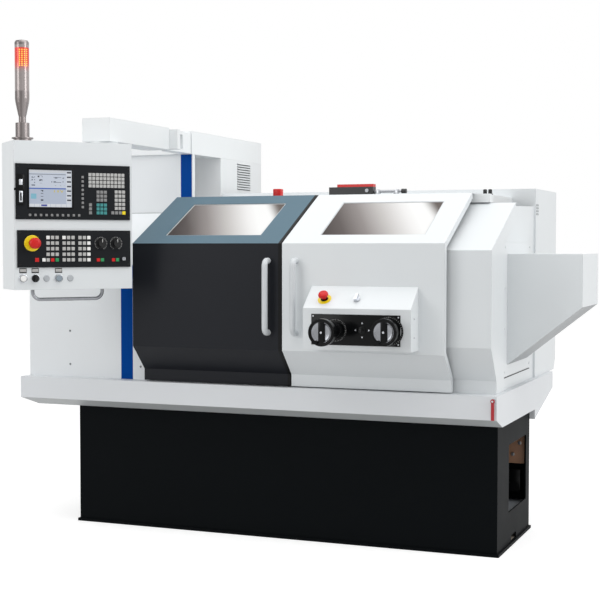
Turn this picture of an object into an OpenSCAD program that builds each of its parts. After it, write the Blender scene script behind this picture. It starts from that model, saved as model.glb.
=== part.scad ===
// Flat-bed turning lathe with sliding doors, a swinging control box and a black stand.
// Millimetres, +Z up. The origin is on the floor, at the middle of the stand.

/* [Stand] */
// Length of the stand
base_l = 1900; // [1700:10:2200]
// Width of the stand, front to back
base_w = 590; // [540:10:680]
// Height of the stand
base_h = 520; // [480:10:600]
// Plate thickness of the stand
base_wall = 6; // [4:1:10]
// Width of the floor flange, inside the walls
flange_w = 90; // [70:5:120]
// Thickness of the floor flange
flange_t = 12; // [8:1:20]
// How far the floor flange stands proud of the walls
flange_proud = 8; // [4:1:14]
// Radius of each anchor hole
anchor_r = 9; // [6:0.5:14]
// Width of the service bay in the right end
bay_w = 328; // [260:4:380]
// Height of the service bay
bay_h = 278; // [220:2:320]
// Height of the bay's sill above the floor
bay_z = 141; // [100:1:170]

/* [Chip tray] */
// Overhang of the tray past the stand, left
tray_over_l = 229; // [210:1:260]
// Overhang of the tray past the stand, right
tray_over_r = 23; // [16:1:30]
// Overhang of the tray past the stand, front
tray_over_f = 120; // [110:1:140]
// Height of the tray's rim above the stand
tray_rim_h = 131; // [120:1:150]
// Sheet thickness of the tray
tray_t = 4; // [3:0.5:6]
// Width of the flat ledge on the tray's rim
tray_ledge = 95; // [85:1:110]

/* [Machine] */
// Height of the bed's ways above the tray floor
bed_h = 306; // [280:2:330]
// Height of the spindle axis above the ways
centre_h = 220; // [200:2:240]
// Half width over the bed's ways
bed_half = 175; // [160:1:190]
// Place of the spindle axis, front to back
axis_y = -40; // [-60:5:-20]
// Diameter of the spindle
spindle_d = 100; // [80:2:110]
// Diameter of the bore through the spindle
spindle_bore = 52; // [40:1:60]
// Diameter of the chuck
chuck_d = 200; // [160:5:215]
// Thickness of the chuck
chuck_t = 90; // [70:2:100]
// Radius of the tool disc
disc_r = 128; // [110:2:132]
// Diameter of the tailstock quill
quill_d = 70; // [50:2:80]
// Diameter of the lead screw
screw_d = 32; // [25:1:36]
// Running clearance of a shaft in its bore, on the radius
run_fit = 0.05; // [0.02:0.01:0.1]
// Gap between faces that slide past each other
slide_gap = 0.3; // [0.2:0.05:0.5]

/* [Headstock cabinet] */
// Height of the cabinet's upright lower front
cab_low_h = 439; // [400:1:470]
// Setback of the upper front from the lower front
cab_setback = 555; // [520:5:580]
// Height that the slope climbs to the upper front
cab_rise = 296; // [270:2:310]
// Height of the upper front panel
upper_h = 274; // [250:2:300]
// Length of the cabinet along the machine
cab_l = 612; // [590:2:620]
// Depth of the belt deck behind the upper front
deck_w = 305; // [280:5:330]
// Length of the upper front, stripe included
upper_l = 540; // [500:2:570]
// Depth of the electrical cabinet
ecab_w = 495; // [420:5:540]
// Height of the roof hood over both cabinets
roof_h = 108; // [90:1:130]
// Sheet thickness of the covers
sheet = 3; // [2:0.5:4]

/* [Doors] */
// Left edge of the left door
left_door_x = -572; // [-590:1:-565]
// Length of the left door
left_door_l = 679; // [640:1:700]
// Length of the right door
right_door_l = 675; // [640:1:690]
// Gap between the two doors
door_gap = 3; // [2:0.5:6]
// How far the doors stand forward of the stand's front
door_out = 190; // [180:1:200]
// Depth of the foot recess under the lower fold
door_kick = 100; // [85:1:105]
// Height of the skirt
skirt_h = 49; // [40:1:60]
// Height of the lower slope
kick_h = 104; // [90:1:115]
// Height of the upright door front
door_front_h = 432; // [400:2:450]
// Run of the window slope, front to back
slope_run = 410; // [390:1:425]
// Rise of the window slope
slope_rise = 208; // [195:1:220]
// Length of each window opening
win_l = 438; // [380:2:480]
// Height of each window opening along the slope
win_h = 305; // [250:1:330]
// Length of each door handle between its feet
handle_l = 290; // [240:2:330]
// Diameter of the handle tube
handle_d = 24; // [18:1:28]
// How far the handles stand off the door
handle_out = 48; // [42:1:52]

/* [Handwheel box] */
// Length of the handwheel box
hw_l = 441; // [420:1:460]
// How far the handwheel box stands out from the door
hw_out = 100; // [85:1:115]
// Height of the handwheel box's front
hw_front_h = 163; // [150:1:180]
// Rise of its sloping top
hw_rise = 84; // [70:1:95]
// Diameter of each handwheel
wheel_d = 104; // [90:1:112]
// Reach of the long handwheel from the box
long_reach = 160; // [120:2:180]
// Reach of the short handwheel from the box
short_reach = 70; // [60:1:100]

/* [Control box] */
// Width of the control box
box_w = 488; // [480:1:530]
// Height of the control box
box_h = 591; // [580:1:640]
// Depth of the control box
box_d = 185; // [175:1:200]
// Angle at which the control box faces right
box_yaw = 48.5; // [40:0.5:52]
// Length of the swing arm from its pivot to the swivel
arm_l = 575; // [560:1:600]
// Width of the swing arm
arm_w = 130; // [100:2:140]
// Angle of the arm to the right of straight ahead
arm_yaw = 0; // [-2:0.2:3]
// Width of the operator panel
op_w = 472; // [460:1:483]
// Height of the operator panel
op_h = 220; // [205:1:222]
// Width of the machine panel
mp_w = 468; // [460:1:483]
// Height of the machine panel
mp_h = 148; // [142:1:155]
// Diameter of the signal tower's tube
tower_d = 57; // [40:1:70]
// Height of the signal tower's lit tube
lens_h = 182; // [120:2:220]

/* [Hidden] */
$fn = 48;
eps = 0.01;

light_grey = [0.80, 0.82, 0.83];
anthracite = [0.16, 0.17, 0.20];
black = [0.06, 0.07, 0.08];
cast = [0.45, 0.48, 0.50];
steel = [0.72, 0.73, 0.75];

// Planes of the stand
base_front = -base_w/2;
base_back = base_w/2;
base_left = -base_l/2;
base_right = base_l/2;
anchor_in = flange_w/2 + base_wall;

// Planes of the tray
tray_left = base_left - tray_over_l;
tray_right = base_right + tray_over_r;
tray_front = base_front - tray_over_f;
tray_top = base_h + tray_rim_h;
tray_back = base_back + 394;
tray_floor = base_h + tray_t;
tray_lip = 93;
tray_chamfer = 99;
tray_end_chamfer = 29;
gutter_drop = 42;
gutter_back_h = 73;
tray_end_ledge = 60;

// Bed and spindle line
bed_top = tray_floor + bed_h;
axis_z = bed_top + centre_h;
bed_web = bed_half - 15;
bed_x0 = base_left - 60;
bed_x1 = base_right - 70;
way_w = 90;
way_t = 45;
rib_pitch = 240;
rib_t = 30;

// Cabinet planes
cab_left = tray_left + 7;
cab_right = cab_left + cab_l;
cab_front = tray_front + 65;
cab_upper_y = cab_front + cab_setback;
cab_back = cab_upper_y + deck_w;
cab_low_top = tray_top + cab_low_h;
cab_seam = cab_low_top + cab_rise;
roof_z = cab_seam + upper_h;
upper_right = cab_left + upper_l;
ecab_back = cab_back + ecab_w;
upper_d = 20;
roof_front = cab_upper_y - 12;

// Door planes
door_y = base_front - door_out;
skirt_y = door_y + door_kick;
door_z0 = tray_top + 4;
skirt_top = door_z0 + skirt_h;
fold_low = skirt_top + kick_h;
fold_top = fold_low + door_front_h;
slope_y = door_y + slope_run;
slope_z = fold_top + slope_rise;
slope_a = atan2(slope_rise, slope_run);
rail_back = slope_y + 75;
right_door_x = left_door_x + left_door_l + door_gap;
door_sheet = 3;
end_return = 25;
win_s = 75;
win_lap = 15;
pane_t = 5;
left_win_x = left_door_x + 122;
right_win_x = right_door_x + 139;
handle_z = fold_low + 217;
left_handle_x = left_door_x + left_door_l - 58;
right_handle_x = right_door_x + 60;
door_profile = [[skirt_y, door_z0], [skirt_y, skirt_top], [door_y, fold_low], [door_y, fold_top],
  [slope_y, slope_z], [rail_back, slope_z]];
door_end_profile = [for (i = [0:4]) door_profile[i]];

// Fixed guard at the right end, inside the right door
guard_right = base_right + 5;
guard_left = right_door_x + right_door_l - 45;
guard_profile = [[skirt_y + 40, tray_top], [skirt_y + 40, skirt_top], [door_y + 50, fold_low + 29],
  [door_y + 50, fold_top - 27], [slope_y + 50, slope_z - 41], [slope_y + 82, slope_z - 41]];
guard_side = base_front + 80;
end_wall_x = guard_right - 11;
housing_front = base_back + 77;
housing_back = base_back + 540;
housing_top = slope_z + 32;
cover_z0 = skirt_top + 1;
cover_z1 = fold_top + 5;
cover_y1 = base_back - 5;
cover_t = 6;
hood_y0 = base_front + 150;
hood_w = 370;
hood_l = 300;
hood_z0 = tray_top + 99;
hood_z1 = tray_top + 546;
hood_end_h = 210;

// Rail that carries the doors
rail_w = 40;
rail_top = slope_z - door_sheet - slide_gap;
rail_h = 36;
rail_left = cab_right + 5;
rail_right = guard_right - 105;
roof_t = 4;
roof_top = rail_top - 3;

// Handwheel box on the right door
hw_x = right_door_x + 130;
hw_z0 = fold_low + 16;
hw_y = door_y - hw_out;
hw_fold = hw_z0 + hw_front_h;
hw_slope_l = norm([hw_out, hw_rise]);
hw_slope_a = atan2(hw_rise, hw_out);
wheel_z = hw_z0 + 79;
long_x = hw_x + 137;
short_x = hw_x + 354;
plate_room = 3;
wheel_shaft_d = 16;
stop_x = hw_x + 76;
mode_x = hw_x + 210;
stop_s = 52;

// Swing arm, swivel and control box
pivot_x = upper_right - 32;
hinge_reach = 178;
pivot_y = roof_front - hinge_reach;
arm_z0 = roof_z;
arm_h = roof_h - 11;
arm_z1 = arm_z0 + arm_h;
arm_nose = 62;
arm_root = 73;
arm_plate_t = 40;
arm_plate_out = 41;
pivot_d = 30;
lug_t = 14;
lug_r = 30;
hub_r = lug_r;
swivel_x = pivot_x + arm_l*sin(arm_yaw);
swivel_y = pivot_y - arm_l*cos(arm_yaw);
swivel_d = 50;
swivel_flange_t = 14;
swivel_flange_d = 124;
box_top = arm_z0 - swivel_flange_t;
box_z0 = box_top - box_h;
box_u0 = -235;
box_cut_u = 45;
box_cut_v = 55;
swivel_u = 181;
swivel_v = 142;
op_u0 = box_u0 + 6;
op_z0 = box_top - 91 - op_h;
mp_u0 = box_u0 + 11;
mp_z0 = op_z0 - 43 - mp_h;
panel_t = 6;
stop_d = 40;
panel_stop_d = 44;
panel_stop_rise = 25;
collar_d = 64;
knob_d = 41;
row_z = box_z0 + 45;
push_d = 28;
push_stem = 16;
grab_u0 = -152;
grab_u1 = 137;
grab_v = 40;
grab_d = 14;
grab_drop = 47;
tower_u = -185;
tower_v = 50;

// Chuck, drive and slides along the spindle line
head_x0 = cab_left + 162;
head_x1 = cab_right - 40;
nose_x = cab_right + 15;
chuck_x = nose_x + 30;
chuck_face = chuck_x + chuck_t;
jaw_w = 22;
jaw_deep = 18;
jaw_out = 40;
pulley_x = head_x0 - 46;
pulley_w = 40;
pulley_r = 90;
motor_r = 100;
motor_pulley_r = 55;
motor_y = axis_y + 340;
motor_z = axis_z - 270;
motor_shaft_d = 38;
belt_t = 8;
saddle_x = -60;
saddle_l = 280;
saddle_h = 60;
slide_h = 50;
saddle_top = bed_top + slide_gap + saddle_h;
slide_top = saddle_top + slide_gap + slide_h;
screw_y = axis_y - bed_half - 30;
screw_z = bed_top - 110;
screw_x0 = saddle_x - 420;
screw_x1 = saddle_x + 700;
disc_y = axis_y + 245;
disc_t = 60;
turret_shaft_d = 60;
tail_x = saddle_x + 620;
tail_l = 240;
quill_out = 60;

// Straight run of a folded sheet, offset to the right of its direction by t
function unit(v) = v/norm(v);
function right_normal(a, b) = let (d = unit(b - a)) [d[1], -d[0]];
function side_step(pts, t) = [for (i = [0:len(pts) - 1])
  let (n2 = i < len(pts) - 1 ? right_normal(pts[i], pts[i + 1]) : right_normal(pts[i - 1], pts[i]))
  let (n1 = i > 0 ? right_normal(pts[i - 1], pts[i]) : n2)
  pts[i] + (n1 + n2)/(1 + n1*n2)*t];
function turned(pts) = [for (i = [len(pts) - 1:-1:0]) pts[i]];
function folded(pts, t) = concat(pts, turned(side_step(pts, t)));

// A section in the YZ plane, drawn out along X
module along_x(x0, x1) {
  translate([x0, 0, 0]) rotate([90, 0, 90]) linear_extrude(x1 - x0) children();
}

// A section in the XZ plane, drawn out along Y
module along_y(y0, y1) {
  translate([0, y1, 0]) rotate([90, 0, 0]) linear_extrude(y1 - y0) children();
}

module slab(low, high) {
  translate(low) cube(high - low);
}

module rod_x(x0, x1, y, z, d) {
  translate([x0, y, z]) rotate([0, 90, 0]) cylinder(d = d, h = x1 - x0);
}

module rod_y(y0, y1, x, z, d) {
  translate([x, y1, z]) rotate([90, 0, 0]) cylinder(d = d, h = y1 - y0);
}

// A frame on the doors' window slope: X along the door, Y up the slope, Z out of it
module on_slope(x) {
  translate([x, door_y, fold_top]) rotate([slope_a, 0, 0]) children();
}

// A frame on the handwheel box's sloping top
module on_box_top(x, s) {
  translate([x, hw_y, hw_fold]) rotate([hw_slope_a, 0, 0]) translate([0, s, 0]) children();
}

// A frame on the control box: X across its face, Y into the box, Z up from the floor
module on_control() {
  translate([swivel_x, swivel_y, 0]) rotate([0, 0, box_yaw]) translate([-swivel_u, -swivel_v, 0]) children();
}

// A round piece that points out of the control box's face
module on_face(u, z, out = 0) {
  translate([u, -out, z]) rotate([90, 0, 0]) children();
}

// A frame on the swing arm: the arm runs towards -Y from its pivot
module on_arm() {
  translate([pivot_x, pivot_y, 0]) rotate([0, 0, arm_yaw]) children();
}

// Rows of ventilation slots with a drip lip under each, cut through a wall at X = x
module louvre_slots(x, y0, y1, z0, count, pitch, slot) {
  for (i = [0:count - 1]) slab([x - 20, y0, z0 + i*pitch], [x + 20, y1, z0 + i*pitch + slot]);
}

module base_stand() color(black) {
  difference() {
    slab([base_left, base_front, 0], [base_right, base_back, base_h]);
    slab([base_left + base_wall, base_front + base_wall, -1],
      [base_right - base_wall, base_back - base_wall, base_h - base_wall]);
    translate([base_right - 20, base_front + 197, bay_z]) cube([40, bay_w, bay_h]);
    translate([base_right - 20, base_front + 245, -1]) cube([40, 93, 38]);
    translate([base_left - 20, base_front + 245, -1]) cube([40, 93, 38]);
    translate([0, base_back - 20, bay_z]) cube([base_l*0.4, 40, bay_h]);
  }
  difference() {
    slab([base_left - flange_proud, base_front - flange_proud, 0],
      [base_right + flange_proud, base_back + flange_proud, flange_t]);
    slab([base_left + base_wall + flange_w, base_front + base_wall + flange_w, -1],
      [base_right - base_wall - flange_w, base_back - base_wall - flange_w, flange_t + 1]);
    for (x = [-1, 1], y = [-1, 1])
      translate([x*(base_l/2 - anchor_in), y*(base_w/2 - anchor_in), -1]) cylinder(r = anchor_r, h = flange_t + 2);
  }
}

// Tank on two bars that lie across the floor flange, with its lid and an upright pump
module coolant_unit() color(cast) {
  tank = [780, 330, 190];
  bar = 20;
  low = [-170, -tank[1]/2, flange_t + bar];
  reach = base_w/2 - base_wall - flange_w*0.55;
  difference() {
    slab(low, low + tank);
    slab(low + [5, 5, 5], low + tank - [5, 5, -1]);
  }
  slab(low + [0, 0, tank[2]], low + tank + [0, 0, 4]);
  for (x = [low[0] + 90, low[0] + tank[0] - 150])
    slab([x, -reach, flange_t], [x + 60, reach, flange_t + bar]);
  translate([low[0] + tank[0] - 110, 0, low[2] + tank[2] + 4]) {
    cylinder(d = 120, h = 12);
    cylinder(d = 86, h = 40);
    translate([0, 0, 40]) cylinder(d = 112, h = 120);
    translate([0, 0, 160]) cylinder(d = 96, h = 18);
  }
}

tray_profile = [[tray_back, tray_top], [tray_back, tray_top - gutter_back_h], [base_back, base_h - gutter_drop],
  [base_back, base_h], [tray_front + tray_chamfer, base_h], [tray_front, tray_top - tray_lip],
  [tray_front, tray_top], [tray_front + tray_ledge, tray_top], [tray_front + tray_ledge, tray_top - 40]];

module chip_tray() color(light_grey) {
  end_rows = [for (i = [0:6]) tray_profile[i]];
  intersection() {
    union() {
      along_x(tray_left, tray_right) polygon(folded(tray_profile, tray_t));
      intersection() {
        along_x(tray_left, tray_right) polygon(end_rows);
        union() {
          along_y(tray_front, tray_back) polygon(folded([[tray_left + tray_end_chamfer, base_h - gutter_drop],
            [tray_left + tray_end_chamfer, base_h], [tray_left, tray_top - tray_lip], [tray_left, tray_top],
            [tray_left + tray_end_ledge, tray_top]], tray_t));
          along_y(tray_front, tray_back) polygon(turned(folded([[tray_right - tray_end_ledge, tray_top],
            [tray_right, tray_top], [tray_right, base_h - gutter_drop]], tray_t)));
        }
      }
    }
    along_y(tray_front, tray_back) polygon([[tray_left + tray_end_chamfer, base_h - gutter_drop],
      [tray_left + tray_end_chamfer, base_h], [tray_left, tray_top - tray_lip], [tray_left, tray_top],
      [tray_right, tray_top], [tray_right, base_h - gutter_drop]]);
  }
}

// Cast bed with two flat ways, cross ribs and a bearing boss for the lead screw
module bed() color(cast) {
  half = [[bed_web, 0], [bed_web, bed_h - way_t - 15], [bed_half, bed_h - way_t], [bed_half, bed_h],
    [bed_half - way_w, bed_h], [bed_half - way_w, bed_h - way_t], [bed_half - way_w - 15, bed_h - way_t - 25],
    [bed_half - way_w - 15, 60]];
  mirrored = [for (p = turned(half)) [-p[0], p[1]]];
  translate([0, axis_y, tray_floor]) {
    along_x(bed_x0, bed_x1) polygon(concat(half, mirrored));
    for (x = [bed_x0 + rib_pitch/2:rib_pitch:bed_x1 - rib_t])
      slab([x, -bed_web + 20, 40], [x + rib_t, bed_web - 20, bed_h - way_t - 30]);
  }
  difference() {
    slab([screw_x0 - 20, screw_y - 32, screw_z - 32], [screw_x0 + 20, axis_y - bed_web, screw_z + 32]);
    rod_x(screw_x0 - 30, screw_x0 + 30, screw_y, screw_z, screw_d + 2*run_fit);
  }
}

module headstock() color(cast) {
  half = bed_half - 25;
  top = axis_z - bed_top + chuck_d/2;
  difference() {
    union() {
      translate([0, axis_y, bed_top]) along_x(head_x0, head_x1)
        polygon([[-half, 0], [half, 0], [half, top - 40], [half - 40, top], [-half + 90, top], [-half, top - 60]]);
      rod_x(head_x1 - 1, cab_right - 10, axis_y, axis_z, spindle_d + 90);
    }
    rod_x(head_x0 - 5, cab_right, axis_y, axis_z, spindle_d + 2*run_fit);
  }
}

module spindle() color(steel) difference() {
  union() {
    rod_x(pulley_x - 14, nose_x, axis_y, axis_z, spindle_d);
    rod_x(pulley_x - 14, pulley_x, axis_y, axis_z, spindle_d + 24);
    rod_x(nose_x - 5, chuck_x, axis_y, axis_z, spindle_d + 70);
  }
  rod_x(pulley_x - 20, chuck_x + 5, axis_y, axis_z, spindle_bore);
}

module pulley(r, y, z, bore) difference() {
  union() {
    rod_x(pulley_x, pulley_x + pulley_w, y, z, 2*r);
    for (x = [pulley_x, pulley_x + pulley_w - 3]) rod_x(x, x + 3, y, z, 2*r + 2*belt_t + 6);
  }
  rod_x(pulley_x - 5, pulley_x + pulley_w + 5, y, z, bore);
}

module spindle_pulley() color(steel) pulley(pulley_r, axis_y, axis_z, spindle_d + 2*run_fit);

module chuck() color(steel) difference() {
  union() {
    rod_x(chuck_x, chuck_face - 6, axis_y, axis_z, chuck_d);
    rod_x(chuck_face - 7, chuck_face, axis_y, axis_z, chuck_d - 8);
  }
  rod_x(chuck_x - 5, chuck_face + 5, axis_y, axis_z, spindle_bore + 8);
  for (a = [90, 210, 330]) translate([chuck_face, axis_y, axis_z]) rotate([a, 0, 0])
    slab([-jaw_deep - slide_gap, 0, -jaw_w/2 - slide_gap], [5, chuck_d, jaw_w/2 + slide_gap]);
}

// One stepped jaw in its radial slot
module jaw(a) color(steel) translate([chuck_face, axis_y, axis_z]) rotate([a, 0, 0]) {
  slab([-jaw_deep, chuck_d/2 - 62, -jaw_w/2], [12, chuck_d/2 - 6, jaw_w/2]);
  slab([12 - eps, chuck_d/2 - 46, -jaw_w/2], [26, chuck_d/2 - 6, jaw_w/2]);
  slab([26 - eps, chuck_d/2 - 30, -jaw_w/2], [jaw_out, chuck_d/2 - 6, jaw_w/2]);
}
module chuck_jaw_1() jaw(90);
module chuck_jaw_2() jaw(210);
module chuck_jaw_3() jaw(330);

// Finned motor on a shelf that is bolted to the back of the bed
module main_motor() color(anthracite) {
  shelf_z = motor_z - motor_r - 20;
  slab([head_x0 + 40, axis_y + bed_web, shelf_z], [head_x0 + 300, motor_y + 90, shelf_z + 14]);
  difference() {
    union() {
      rod_x(head_x0 + 10, head_x0 + 330, motor_y, motor_z, 2*motor_r - 14);
      for (x = [head_x0 + 40:18:head_x0 + 270]) rod_x(x, x + 6, motor_y, motor_z, 2*motor_r);
      slab([head_x0 + 60, motor_y - 70, shelf_z + 14], [head_x0 + 280, motor_y + 70, motor_z - motor_r + 20]);
    }
    rod_x(head_x0, head_x0 + 80, motor_y, motor_z, motor_shaft_d + 2*run_fit);
  }
}

module motor_pulley() color(steel) {
  pulley(motor_pulley_r, motor_y, motor_z, motor_shaft_d - 2*eps);
  rod_x(pulley_x - 2, head_x0 + 75, motor_y, motor_z, motor_shaft_d);
}

// Closed line round both pulleys: an arc on each and the tangents between them
function arc(c, r, from, to, n) = [for (i = [0:n]) let (t = from + (to - from)*i/n) c + r*[cos(t), sin(t)]];
function belt_line(grow) =
  let (a = [axis_y, axis_z], b = [motor_y, motor_z])
  let (lay = atan2(b[1] - a[1], b[0] - a[0]), open = acos((pulley_r - motor_pulley_r)/norm(b - a)))
  concat(arc(a, pulley_r + grow, lay + open, lay + 360 - open, 32),
    arc(b, motor_pulley_r + grow, lay - open, lay + open, 20));

module drive_belt() color(black) along_x(pulley_x + 4, pulley_x + pulley_w - 4) difference() {
  polygon(belt_line(slide_gap + belt_t));
  polygon(belt_line(slide_gap));
}

// Saddle on the ways, with an apron and screw nut in front
module carriage() color(cast) {
  apron_y = axis_y - bed_half - 1;
  difference() {
    union() {
      slab([saddle_x, axis_y - bed_half - 20, bed_top + slide_gap],
        [saddle_x + saddle_l, axis_y + bed_half + 15, saddle_top]);
      slab([saddle_x + 40, screw_y - 34, screw_z - 34], [saddle_x + saddle_l - 40, apron_y, saddle_top]);
    }
    rod_x(saddle_x, saddle_x + saddle_l, screw_y, screw_z, screw_d + 2*run_fit);
  }
}

// Cross slide with the turret housing at its back
module cross_slide() color(cast) {
  low = saddle_top + slide_gap;
  slab([saddle_x + 64, axis_y - 160, low], [saddle_x + saddle_l - 30, axis_y + 380, slide_top]);
  difference() {
    union() {
      slab([saddle_x + 64, disc_y - 85, slide_top - 1], [saddle_x + 210, disc_y + 95, axis_z + 60]);
      rod_x(saddle_x + 64, saddle_x + 210, disc_y, axis_z, 150);
    }
    rod_x(saddle_x + 60, saddle_x + 150, disc_y, axis_z, turret_shaft_d + 2*run_fit);
  }
}

// Eight-sided tool disc with its shaft, tool pockets and boring bars
module tool_disc() color(steel) {
  face = saddle_x + 60 - disc_t;
  rod_x(face + disc_t - 1, saddle_x + 145, disc_y, axis_z, turret_shaft_d);
  difference() {
    translate([face, disc_y, axis_z]) rotate([0, 90, 0]) rotate([0, 0, 22.5]) cylinder(r = disc_r, h = disc_t, $fn = 8);
    for (i = [0:7]) translate([face, disc_y, axis_z]) rotate([45*i, 0, 0])
      slab([-1, disc_r - 42, -11], [28, disc_r + 5, 11]);
  }
  for (i = [0:2:7]) translate([face, disc_y, axis_z]) rotate([45*i, 0, 0]) {
    slab([0, disc_r - 40, -10], [29, disc_r - 14, 10]);
    translate([-38, disc_r - 27, 0]) rotate([0, 90, 0]) cylinder(d = 16, h = 40);
  }
}

module lead_screw() color(steel) {
  rod_x(screw_x0 - 18, screw_x1 + 16, screw_y, screw_z, screw_d);
}

// Right bearing block of the lead screw with its feed motor
module feed_motor() color(anthracite) {
  difference() {
    slab([screw_x1 - 20, screw_y - 45, screw_z - 45], [screw_x1 + 40, axis_y - bed_web, screw_z + 45]);
    rod_x(screw_x1 - 30, screw_x1 + 20, screw_y, screw_z, screw_d + 2*run_fit);
  }
  slab([screw_x1 + 40, screw_y - 43, screw_z - 43], [screw_x1 + 180, screw_y + 43, screw_z + 43]);
  slab([screw_x1 + 120, screw_y - 20, screw_z + 42], [screw_x1 + 165, screw_y + 20, screw_z + 66]);
}

module tailstock() color(cast) {
  half = bed_half - 60;
  barrel_d = quill_d + 80;
  difference() {
    union() {
      translate([0, axis_y, bed_top + slide_gap]) along_x(tail_x, tail_x + tail_l)
        polygon([[-half, 0], [half, 0], [half, 50], [barrel_d/2, 110], [barrel_d/2, centre_h],
          [-barrel_d/2, centre_h], [-barrel_d/2, 110], [-half, 50]]);
      rod_x(tail_x, tail_x + tail_l, axis_y, axis_z, barrel_d);
    }
    rod_x(tail_x - 5, tail_x + tail_l - 30, axis_y, axis_z, quill_d + 2*run_fit);
    rod_x(tail_x + tail_l - 40, tail_x + tail_l + 5, axis_y, axis_z, 24 + 2*run_fit);
  }
}

module quill() color(steel) {
  rod_x(tail_x - quill_out, tail_x + tail_l - 40, axis_y, axis_z, quill_d);
  translate([tail_x - quill_out - 45, axis_y, axis_z]) rotate([0, 90, 0]) cylinder(d1 = 0, d2 = 52, h = 45 + eps);
}

module tailstock_wheel() color(steel) {
  x = tail_x + tail_l + 6;
  rod_x(x - 30, x + 24, axis_y, axis_z, 24);
  rod_x(x, x + 24, axis_y, axis_z, 44);
  translate([x + 12, axis_y, axis_z]) rotate([0, 90, 0]) rotate_extrude() translate([80, 0]) circle(d = 20);
  for (a = [90, 210, 330]) translate([x + 12, axis_y, axis_z]) rotate([a, 0, 0]) rotate([-90, 0, 0])
    cylinder(d = 13, h = 76);
  translate([x + 18, axis_y, axis_z + 80]) rotate([0, 90, 0]) cylinder(d = 16, h = 48);
}

// Folded cover round the headstock: upright front, slope, belt deck and back
module headstock_cabinet() color(light_grey) {
  profile = [[cab_front, tray_top], [cab_front, cab_low_top], [cab_upper_y, cab_seam], [cab_back, cab_seam],
    [cab_back, tray_top]];
  along_x(cab_left, cab_right) polygon(folded(profile, sheet));
  difference() {
    along_x(cab_left, cab_left + sheet) polygon(profile);
    louvre_slots(cab_left, axis_y + 100, axis_y + 300, tray_top + 120, 8, 30, 12);
  }
  difference() {
    along_x(cab_right - sheet, cab_right) polygon(profile);
    rod_x(cab_right - 20, cab_right + 20, axis_y, axis_z, spindle_d + 110);
    slab([cab_right - 20, axis_y - bed_half - 6, tray_top - 5], [cab_right + 20, axis_y + bed_half + 6, bed_top + 6]);
  }
}

// Shallow folded panel above the slope, open at its back
module upper_panel() color(light_grey) difference() {
  slab([cab_left, cab_upper_y, cab_seam], [upper_right, cab_upper_y + upper_d, roof_z]);
  slab([cab_left + sheet, cab_upper_y + sheet, cab_seam + sheet],
    [upper_right - sheet, cab_upper_y + upper_d + 1, roof_z - sheet]);
}

// Tall cabinet behind the headstock with louvres in its right side and a screwed cover at its back
module electrical_cabinet() color(light_grey) {
  z0 = tray_top + 4;
  difference() {
    slab([cab_left, cab_back, z0], [upper_right, ecab_back, roof_z]);
    slab([cab_left + sheet, cab_back + sheet, z0 + sheet], [upper_right - sheet, ecab_back - sheet, roof_z - sheet]);
    louvre_slots(upper_right, cab_back + 195, cab_back + 353, roof_z - 146, 11, 12.5, 6);
  }
  slab([cab_left + 35, ecab_back - eps, z0 + 40], [upper_right - 35, ecab_back + 4, roof_z - 40]);
}

// Closed hood over both cabinets
module cabinet_roof() color(light_grey) difference() {
  slab([cab_left, roof_front, roof_z], [upper_right, ecab_back, roof_z + roof_h]);
  slab([cab_left + sheet, roof_front + sheet, roof_z + sheet],
    [upper_right - sheet, ecab_back - sheet, roof_z + roof_h - sheet]);
}

// Folded housing behind the work space, open to the tray's gutter underneath
module rear_housing() color(light_grey) {
  rows = [[tray_back - 10, tray_top], [housing_back - 32, tray_top], [housing_back, tray_top + 50],
    [housing_back, housing_top], [housing_front, housing_top], [housing_front, tray_top]];
  along_x(cab_right, guard_right) polygon(turned(folded(turned(rows), sheet)));
  for (x = [cab_right, guard_right - sheet]) along_x(x, x + sheet) polygon(rows);
  for (x = [cab_right + 60, cab_right + 780])
    slab([x, housing_back - eps, tray_top + 110], [x + 660, housing_back + 4, housing_top - 70]);
}

// Rail under the doors' top flanges, with the roof sheet behind it
module roof_rail() color(light_grey) {
  slab([rail_left, rail_back - rail_w, rail_top - rail_h], [rail_right, rail_back, rail_top]);
  slab([rail_left, rail_back - eps, roof_top - roof_t], [rail_right, housing_front, roof_top]);
  for (x = [rail_left, rail_right - roof_t])
    slab([x, rail_back - eps, rail_top - rail_h], [x + roof_t, housing_front, roof_top]);
}

// Fixed front shell at the right end, with its side return
module right_guard() color(light_grey) {
  along_x(guard_left, guard_right) polygon(folded(guard_profile, sheet));
  side = concat([for (i = [0:4]) guard_profile[i]],
    [[slope_y + 50, slope_z - 110], [guard_side, cover_z1], [guard_side, tray_top]]);
  along_x(guard_right - sheet, guard_right) polygon(side);
}

// End wall behind the guard, with a raised access cover
module end_wall() color(light_grey) {
  slab([end_wall_x, guard_side - 30, tray_top], [end_wall_x + sheet, housing_front, cover_z1]);
  along_x(end_wall_x, end_wall_x + sheet) polygon([[guard_side - 30, cover_z1 - eps], [slope_y + 20, slope_z - 70],
    [slope_y + 46, slope_z - 55], [housing_front, slope_z - 45], [housing_front, cover_z1 - eps]]);
  slab([end_wall_x + sheet - eps, guard_side + 2, cover_z0], [end_wall_x + cover_t, cover_y1, cover_z1 - 2]);
}

// Hood on the end cover, with a sloping floor
module end_hood() color(light_grey) {
  x0 = end_wall_x + cover_t;
  rows = [[x0, hood_z1], [x0 + hood_l, hood_z1], [x0 + hood_l, hood_z1 - hood_end_h], [x0, hood_z0]];
  inner = [[x0 - 1, hood_z1 - sheet], [x0 + hood_l - sheet, hood_z1 - sheet],
    [x0 + hood_l - sheet, hood_z1 - hood_end_h + sheet], [x0 - 1, hood_z0 + 2*sheet]];
  difference() {
    along_y(hood_y0, hood_y0 + hood_w) polygon(rows);
    along_y(hood_y0 + sheet, hood_y0 + hood_w - sheet) polygon(inner);
  }
}

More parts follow.
